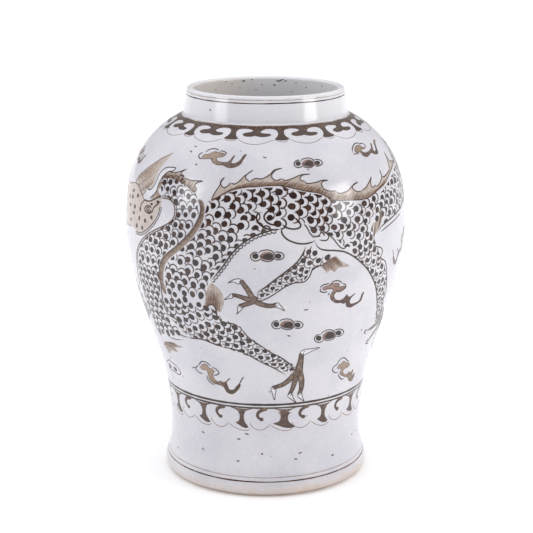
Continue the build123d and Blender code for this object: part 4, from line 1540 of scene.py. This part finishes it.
# Brush strokes: the colour, the width in mm, the shares of the length that swell, and the load
strokes = {
    "heavy": ("line", 2.0, (0.12, 0.2), 0.95), "fine": ("line", 1.5, (0.1, 0.15), 0.85),
    "toeSide": ("line", 1.2, (0.3, 0.1), 0.85), "claw": ("line", 1.05, (0.04, 0.04), 0.85),
    "spike": ("line", 1.3, (0.12, 0.08), 0.75), "finFoot": ("line", 1.3, (0.05, 0.05), 0.7),
    "cordNear": ("line", 1.15, (0.04, 0.04), 0.8), "cordFar": ("line", 1.0, (0.04, 0.04), 0.7),
    "cordTie": ("line", 0.95, (0.1, 0.1), 0.65), "sash": ("line", 1.4, (0.1, 0.1), 0.75),
    "maneFront": ("line", 1.1, (0.05, 0.1), 0.6), "maneBack": ("line", 1.1, (0.1, 0.1), 0.6),
    "face": ("line", 1.2, (0.1, 0.1), 0.7), "ribbon": ("line", 1.3, (0.05, 0.05), 0.85),
    "socket": ("line", 1.9, (0.1, 0.1), 0.9), "cloudRing": ("line", 1.4, (0.1, 0.1), 0.5),
    "tailFin": ("line", 1.0, (0.01, 0.01), 0.6), "tailHair": ("wash", 0.9, (0.0, 0.6), 0.3),
    "pearl": ("line", 1.2, (0.1, 0.1), 0.75), "flame": ("wash", 4.0, (0.2, 0.8), 0.5),
    "bodyEdge": ("line", 1.5, (0.03, 0.03), 0.85), "profile": ("line", 1.1, (0.03, 0.03), 0.6),
}


def trace(kind, line):
    look, width, swell, load = strokes[kind]
    works[look].stroke(line, width, swell, load)


def beside(spots, offset):
    # the line that runs so many mm to the left of another
    line = []
    for i, spot in enumerate(spots):
        across, along = headingAt(spots, i)
        line.append(near(spot, -along * offset, across * offset))
    return line


def chained(runs):
    # the parts of a jagged line, each from where the one before it ends
    return [runs[0]] + [before[-1:] + run for before, run in zip(runs, runs[1:])]


def joined(runs, step=0.8):
    line = []
    for run in runs:
        line += flowing(run, step)[0 if not line else 1:]
    return line


def washed(look, points, lay, load=0.6, step=1.0, spacing=2.8):
    # an area of thin colour inside a smooth outline, which it gives back
    outline = flowing(points, step, True)
    works[look].fill(layOut(outline, lay), unrolled, load=load, spacing=spacing)
    return outline


def paintToe(toe, lay, unit):
    middle, width, claw = toe
    line = drawn(middle, lay, 1.2)
    wide = [w * unit for w in width]

    def thinner(share):
        return wide[0] + (wide[1] - wide[0]) * share

    works["wash"].stroke(line, thinner, (0.0, 0.06), load=0.5, fade=-0.3)
    for way in (1, -1):
        half = [w * 0.42 * way for w in wide]
        edge = [beside(line, half[0] + (half[1] - half[0]) * k / len(line))[k] for k in range(len(line))]
        trace("toeSide", edge)
    nail = flowing(claw, 0.8, True)
    works["white"].fill(nail, lay, spacing=2.0)
    trace("claw", [lay(*p) for p in nail + nail[:2]])


def paintFin(runs, foot, lay, ways):
    outline = joined(runs) + flowing(foot, 0.8)[1:]
    works["tan"].fill(layOut(outline, lay), unrolled, load=0.32, spacing=2.8)
    line = flowing(foot, 1.0)
    half = len(line) // 2
    for part, way in ((line[:half], ways[0]), (line[half:], ways[1])):
        for kind in ("finGround", "finWash", "finLines"):
            hatch(kind, outline, part, lay, way)
    for run in runs:
        trace("spike", drawn(run, lay, 0.8))
    trace("finFoot", [lay(*p) for p in line])


def paintBeads(line, size):
    # a row of small bows along a line, on its left
    path = Path(line)
    count = int(path.length / size)
    for k in range(count):
        middle = path.at((k + 0.5) / count)
        across, along = gap(path.at((k + 0.2) / count), path.at((k + 0.8) / count))
        turn = math.atan2(along, across) + math.pi / 2
        middle = near(middle, 0.9 * math.cos(turn), 0.9 * math.sin(turn))
        turns = [turn + (j * 0.38 - 1.52) for j in range(9)]
        bow = [near(middle, size / 2 * math.cos(t), size / 2 * math.sin(t)) for t in turns]
        works["line"].stroke(bow, 1.3, (0.2, 0.2), load=dice.uniform(0.75, 1.0))


def paintCord(line, width=3.0, pitch=3.1):
    # two lines with short ties between them
    trace("cordNear", line)
    far = beside(line, width)
    trace("cordFar", far)
    path, other = Path(line), Path(far)
    count = int(path.length / pitch)
    for k in range(count):
        share = (k + dice.uniform(0.3, 0.7)) / count
        tie = [path.at(share), halfway(path.at(share), other.at(share + 0.004)), other.at(share + 0.008)]
        trace("cordTie", tie)


def paintHead(part, lay):
    mane = washed("tan", part["mane"], lay, 0.12)
    edge = flowing(part["mane"][:2] + part["mane"][-1:], 0.8)
    hatch("maneEdge", mane, edge, lay, (0.8, -0.6))
    hatch("maneFoot", mane, flowing(part["maneFoot"], 0.8), lay, (0.72, -0.69))
    trace("maneFront", drawn(part["mane"][:7], lay))
    trace("maneBack", drawn(part["mane"][-6:], lay))
    washed("tan", part["face"], lay, 0.2, 1.2, 3.0)
    trace("face", drawn(part["face"][1:7], lay))
    washed("white", part["ribbon"], lay, step=0.9)
    trace("ribbon", drawn(part["ribbon"], lay))
    washed("tan", part["browWash"], lay, 0.7, 0.9)
    washed("wash", part["brow"], lay, 0.95, 0.9)
    for line in part["socket"]:
        trace("socket", drawn(line, lay))


def paintTicks(places, lay, wide=3.2, tall=5.4, seenAslant=True):
    # dark ovals, broadened where they follow the photograph's slanting view of them
    for x, y in places:
        spot = lay(x, y)
        broad = wide / max(0.36, math.cos(spot[0])) if seenAslant else wide
        broad, high = broad * dice.uniform(0.8, 1.1), tall * dice.uniform(0.8, 1.15)
        works["ink"].dot(spot, broad, high, 0.15, load=0.75)


def paintEye(middle, lay, size):
    for radius, wide in ((1.0, 2.0), (0.45, 1.6)):
        ring = ringRound(middle, radius * size, 0.33, 20)
        works["line"].stroke([lay(*p) for p in ring], wide, (0.05, 0.05), load=0.85)
    works["ink"].dot(lay(middle[0], middle[1] + 0.3), size * 0.5, size * 0.5, load=0.9)


# A fin of spikes that lean back, in mm and in shares of a spike's run
spikes = {
    "pitch": 34, "pieces": 14, "peak": 0.72, "fall": 0.1, "hollow": 2.2, "foot": 0.3, "lean": 0.55,
    "shrink": 0.55, "hatch": 3.0, "hairs": (0.22, 0.4),
}


def paintSpikes(edge, rise):
    path = Path(edge)
    pieces, peak, foot = spikes["pieces"], spikes["peak"], spikes["foot"]
    total = round(path.length / spikes["pitch"]) * pieces
    top, base = [], []
    for k in range(total + 1):
        s, share = (k / pieces) % 1.0, k / total
        part = (s / peak) ** spikes["hollow"] if s < peak else max(0.0, 1 - (s - peak) / spikes["fall"])
        tall = rise * (foot + (1 - foot) * part) * (1 - spikes["shrink"] * share)
        spot = path.at(share)
        across, along = heading(path.at(share - 0.004), path.at(share + 0.004))
        lean = spikes["lean"]
        base.append(spot)
        top.append(near(spot, (-along + across * lean) * tall, (across + along * lean) * tall))
    n = len(top)
    faces = [(i, n + i, n + i + 1, i + 1) for i in range(n - 1)]
    works["tan"].patch(top + base, faces, [0.2] * n + [0.6] * n)
    trace("tailFin", top)
    for k in range(int(path.length / spikes["hatch"])):
        share = (k + dice.random()) / (path.length / spikes["hatch"])
        spot = path.at(share)
        across, along = heading(spot, path.at(share + 0.01))
        tall = rise * dice.uniform(*spikes["hairs"]) * (1 - spikes["shrink"] * share)
        hair = [near(spot, (across - along) * tall * s, (across + along) * tall * s) for s in (0, 0.5, 1)]
        trace("tailHair", hair)


def paintFront():
    taken = [(seen(x, y), room) for x, y, room in dragon["bare"]]
    for upper, lower, pitches, load in dragon["scales"]:
        paintScales(drawn(upper, seen, 2.0), drawn(lower, seen, 2.0), pitches, load, taken)
    print("front scales")
    paintFin(chained(dragon["fin"]), dragon["finFoot"], seen, ((0.55, -0.83), (0.84, -0.54)))
    paintFin(chained(dragon["neckFin"]), dragon["neckFinFoot"], seen, ((0.5, -0.86), (0.7, -0.7)))
    strip = washed("tan", dragon["finStrip"], seen, 0.5)
    hatch("strip", strip, flowing(dragon["finStripFoot"], 1.0), seen, (0.1, -1))
    sash = washed("tan", dragon["sash"], seen, 0.95)
    edge = dragon["sash"][:9]
    trace("sash", drawn(edge, seen))
    hatch("sash", sash, flowing(edge, 1.0), seen, (0.9, 0.3))
    for area, foot, way in dragon["tufts"]:
        area, foot = washed("tan", area, seen, 0.5), flowing(foot, 1.0)
        hatch("tuftWash", area, foot, seen, way)
        hatch("tuftLines", area, foot, seen, way)
    for line, wide, load in dragon["wisps"]:
        works["wash"].stroke(drawn(line, seen, 0.8), wide, (0.15, 0.7), load=load)
    for x, y, size in dragon["palms"]:
        works["wash"].dot(seen(x, y), size, size * 1.1, load=0.7)
    for toe in dragon["toes"]:
        paintToe(toe, seen, dragon["pixelMm"])
    paintHead(dragon, seen)
    paintTicks(dragon["ticks"], seen)
    paintTicks(dragon["eyeMarks"], seen, 3.0, 4.2)
    paintEye(dragon["eye"], seen, 3.3)
    works["ink"].dot(seen(*dragon["haunchCurl"]), 7.4, 7.0, load=0.85)
    for line in dragon["pearlLines"]:
        paintCord(drawn(line, seen))
    paintBeads(drawn(dragon["heavy"][0], seen), 5.4)
    for line in dragon["heavy"]:
        trace("heavy", drawn(line, seen))
    for line in dragon["fine"]:
        trace("fine", drawn(line, seen))


def paintPearl(middle):
    for size in (13, 9.5):
        trace("pearl", [unrolled(*p) for p in ringRound(middle, size, 0.26, 25)])
    works["ink"].dot(unrolled(*middle), 8, 7, load=0.7)
    for k in range(5):
        turn = 0.9 + k * 0.35
        flame = [ringRound(middle, far, turn + bend, 2)[1] for far, bend in ((14, 0), (24, 0.15), (36, -0.1))]
        trace("flame", drawn(flame, unrolled, 1.4))


def paintRest():
    for band in rest["bands"]:
        edges = bandOf(band["centre"], band["widths"], unrolled)
        paintScales(*edges, band["pitch"], 0.75, [])
        for edge in edges:
            trace("bodyEdge", edge)
        if "fin" in band:
            paintSpikes(edges[1][::-1], band["fin"])
    works["tan"].fill(flowing(rest["face"], 1.6, True), unrolled, load=0.2, spacing=4.0)
    trace("profile", drawn(rest["face"][:-3], unrolled, 1.6))
    works["tan"].fill(flowing(rest["jaw"], 1.6, True), unrolled, load=0.3, spacing=4.0)
    trace("profile", drawn(rest["jaw"], unrolled, 1.6, True))
    paintTicks(rest["ticks"], unrolled, 3.4, 5.0, False)
    paintEye(rest["eye"], unrolled, 5.5)
    for points, wide, look in rest["lines"]:
        line = drawn(points, unrolled, 1.4)
        works[look].stroke(line, wide, (0.3, 0.9), load=0.5)
        if look == "tan":
            works["line"].stroke(beside(line, wide * 0.4), 0.8, (0.1, 0.3), load=0.5)
    for toe in rest["toes"]:
        paintToe(toe, unrolled, 1.0)
    paintPearl(rest["pearl"])


def paintClouds():
    for middle, size, tilt in frontClouds["blobs"]:
        threeBlobs(drawnAbout(middle, seen, size, tilt))
    for kind, middle, size, load, look in frontClouds["tails"]:
        tailedCloud(kind, drawnAbout(middle, seen, size), load, look)
    for dab in frontClouds["dabs"]:
        washed("ink", dab, seen, 0.8, 0.8, 2.4)
    trace("cloudRing", drawn(frontClouds["ring"], seen, 0.8))
    for middle, size, tilt in rest["blobs"]:
        threeBlobs(drawnAbout(middle, unrolled, size, tilt, -1))
    for kind, middle, size, mirror in rest["tails"]:
        tailedCloud(kind, drawnAbout(middle, unrolled, size, 0.0, -1, mirror), 0.5, "wash")


# Grit that burnt through the glaze, all round: sizes in mm
grit = {
    "count": 240, "heights": (30, 455), "least": 0.5, "most": 2.4, "fewLarge": 2.2, "faint": 0.55,
    "frontWide": (2.6, 5.8), "frontTall": (1.4, 2.1), "boreTall": 1.5, "ragged": 0.3,
}


def paintSpecks():
    # the specks that the photograph shows, and others all round
    for x, y in frontClouds["specks"]:
        wide, tall = (dice.uniform(*grit[kind]) for kind in ("frontWide", "frontTall"))
        turn, load = dice.uniform(-0.5, 0.3), dice.uniform(0.5, 1.0)
        works["line"].dot(seen(x, y), wide, tall, turn, load, sides=8, wobble=grit["ragged"])
    bore = Painting("neck_specks", "line", 0, inside=True)
    for x, y, long in frontClouds["inside"]:
        turn = dice.uniform(-0.4, 0.4)
        bore.dot(seenInside(x, y), long, grit["boreTall"], turn, sides=8, wobble=grit["ragged"])
    bore.make()
    for _ in range(grit["count"]):
        spot = (dice.uniform(-math.pi, math.pi), dice.uniform(*grit["heights"]))
        wide = min(grit["least"] + dice.expovariate(grit["fewLarge"]), grit["most"])
        work = works["tan" if dice.random() < grit["faint"] else "line"]
        long, turn, load = wide * dice.uniform(1.0, 1.7), dice.uniform(-0.8, 0.8), dice.uniform(0.2, 0.9)
        work.dot(spot, long, wide, turn, load, sides=6, wobble=grit["ragged"])


paintFront()
paintRest()
paintClouds()
paintSpecks()
for work in works.values():
    work.make()

# CAD nodes that keep showing
showing = {
    "bareClay": ("turned_foot", "lower_wall", "shoulder_wall", "neck_collar"),
    "slip": ("waist_slip", "belly_slip", "neck_slip"),
}
for look, names in showing.items():
    for name in names:
        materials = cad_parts[name].data.materials
        materials.clear()
        materials.append(looks[look])

# Floor, light and camera
studio = {
    "floor": (0.90, 0.90, 0.905), "floorGlow": 0.17,
    "glowFrom": (-1.5, -0.4),  # the floor's glow fades away in front of the picture
    "floorRadius": 12.0, "floorSides": 64, "floorHeight": -0.0002,
    "world": (0.96, 0.965, 1.0),
    "front": 0.05, "back": 0.52, "above": 1.15,  # how strong the room's light is from three sides
    "frontToBack": (-0.95, 0.15), "upward": (0.3, 0.95),
}
softBoxes = {
    "left": {
        "at": (-1.43, -0.72, 0.80), "aim": (0, 0, 0.36), "size": (0.55, 0.75),
        "power": 5.6, "colour": (0.97, 0.98, 1.0),
    },
    "right": {
        "at": (1.57, -0.76, 0.74), "aim": (0, 0, 0.36), "size": (0.6, 0.8),
        "power": 9.2, "colour": (1.0, 0.99, 0.97),
    },
}


def floorMaterial():
    finish = Finish("paleFloor")
    grain = finish.cloud(3.0, 2.0)
    glow = finish.mixed(finish.along("y").clamped(*studio["glowFrom"]), (0, 0, 0), (1, 1, 1))
    shader = finish.surface(studio["floor"], 0.85 + grain * 0.1)
    base = shader.node_tree.nodes["Principled BSDF"]
    shader.node_tree.links.new(glow.socket, base.inputs["Emission Color"])
    base.inputs["Emission Strength"].default_value = studio["floorGlow"]
    return shader


def layFloor():
    sides, reach = studio["floorSides"], studio["floorRadius"]
    turns = [2 * math.pi * k / sides for k in range(sides)]
    corners = [(reach * math.cos(t), reach * math.sin(t), studio["floorHeight"]) for t in turns]
    mesh = bpy.data.meshes.new("floor")
    mesh.from_pydata(corners, [], [tuple(range(sides))])
    mesh.materials.append(floorMaterial())
    inScene("floor", mesh)


def lightRoom():
    world = bpy.data.worlds.new("studio")
    bpy.context.scene.world = world
    sky = Finish("studio", world)
    way = sky.node("ShaderNodeTexCoord")
    depth, upward = (sky.node("ShaderNodeSeparateXYZ", None, {0: way}, axis) for axis in (1, 2))
    strength = depth.clamped(*studio["frontToBack"]) * (studio["back"] - studio["front"]) + studio["front"]
    strength = strength + upward.clamped(*studio["upward"]) * studio["above"]
    glow = sky.node("ShaderNodeBackground", None, {"Color": (*studio["world"], 1), "Strength": strength})
    sky.node("ShaderNodeOutputWorld", None, {0: glow})


def softBox(name, box):
    light = bpy.data.lights.new(name, "AREA")
    light.shape = "RECTANGLE"
    light.size, light.size_y = box["size"]
    light.energy = box["power"]
    light.color = box["colour"]
    lamp = inScene(name, light)
    lamp.location = box["at"]
    lamp.rotation_euler = (Vector(box["aim"]) - Vector(box["at"])).to_track_quat("-Z", "Y").to_euler()


def setCamera():
    camera = bpy.data.cameras.new("camera")
    camera.sensor_width = shot["sensor"]
    camera.lens = shot["focal"] / shot["picture"] * shot["sensor"]
    camera.shift_x = (shot["picture"] / 2 - shot["axisX"]) / shot["picture"]
    camera.shift_y = (shot["middleY"] - shot["picture"] / 2) / shot["picture"]
    camera.clip_end = 50
    viewer = inScene("camera", camera)
    viewer.location = eye * mm
    viewer.rotation_euler = (math.pi / 2 - shot["down"], 0, 0)
    bpy.context.scene.camera = viewer


layFloor()
lightRoom()
for name, box in softBoxes.items():
    softBox("softbox_" + name, box)
setCamera()
bpy.context.scene.view_settings.view_transform = "Standard"
print("studio is set")
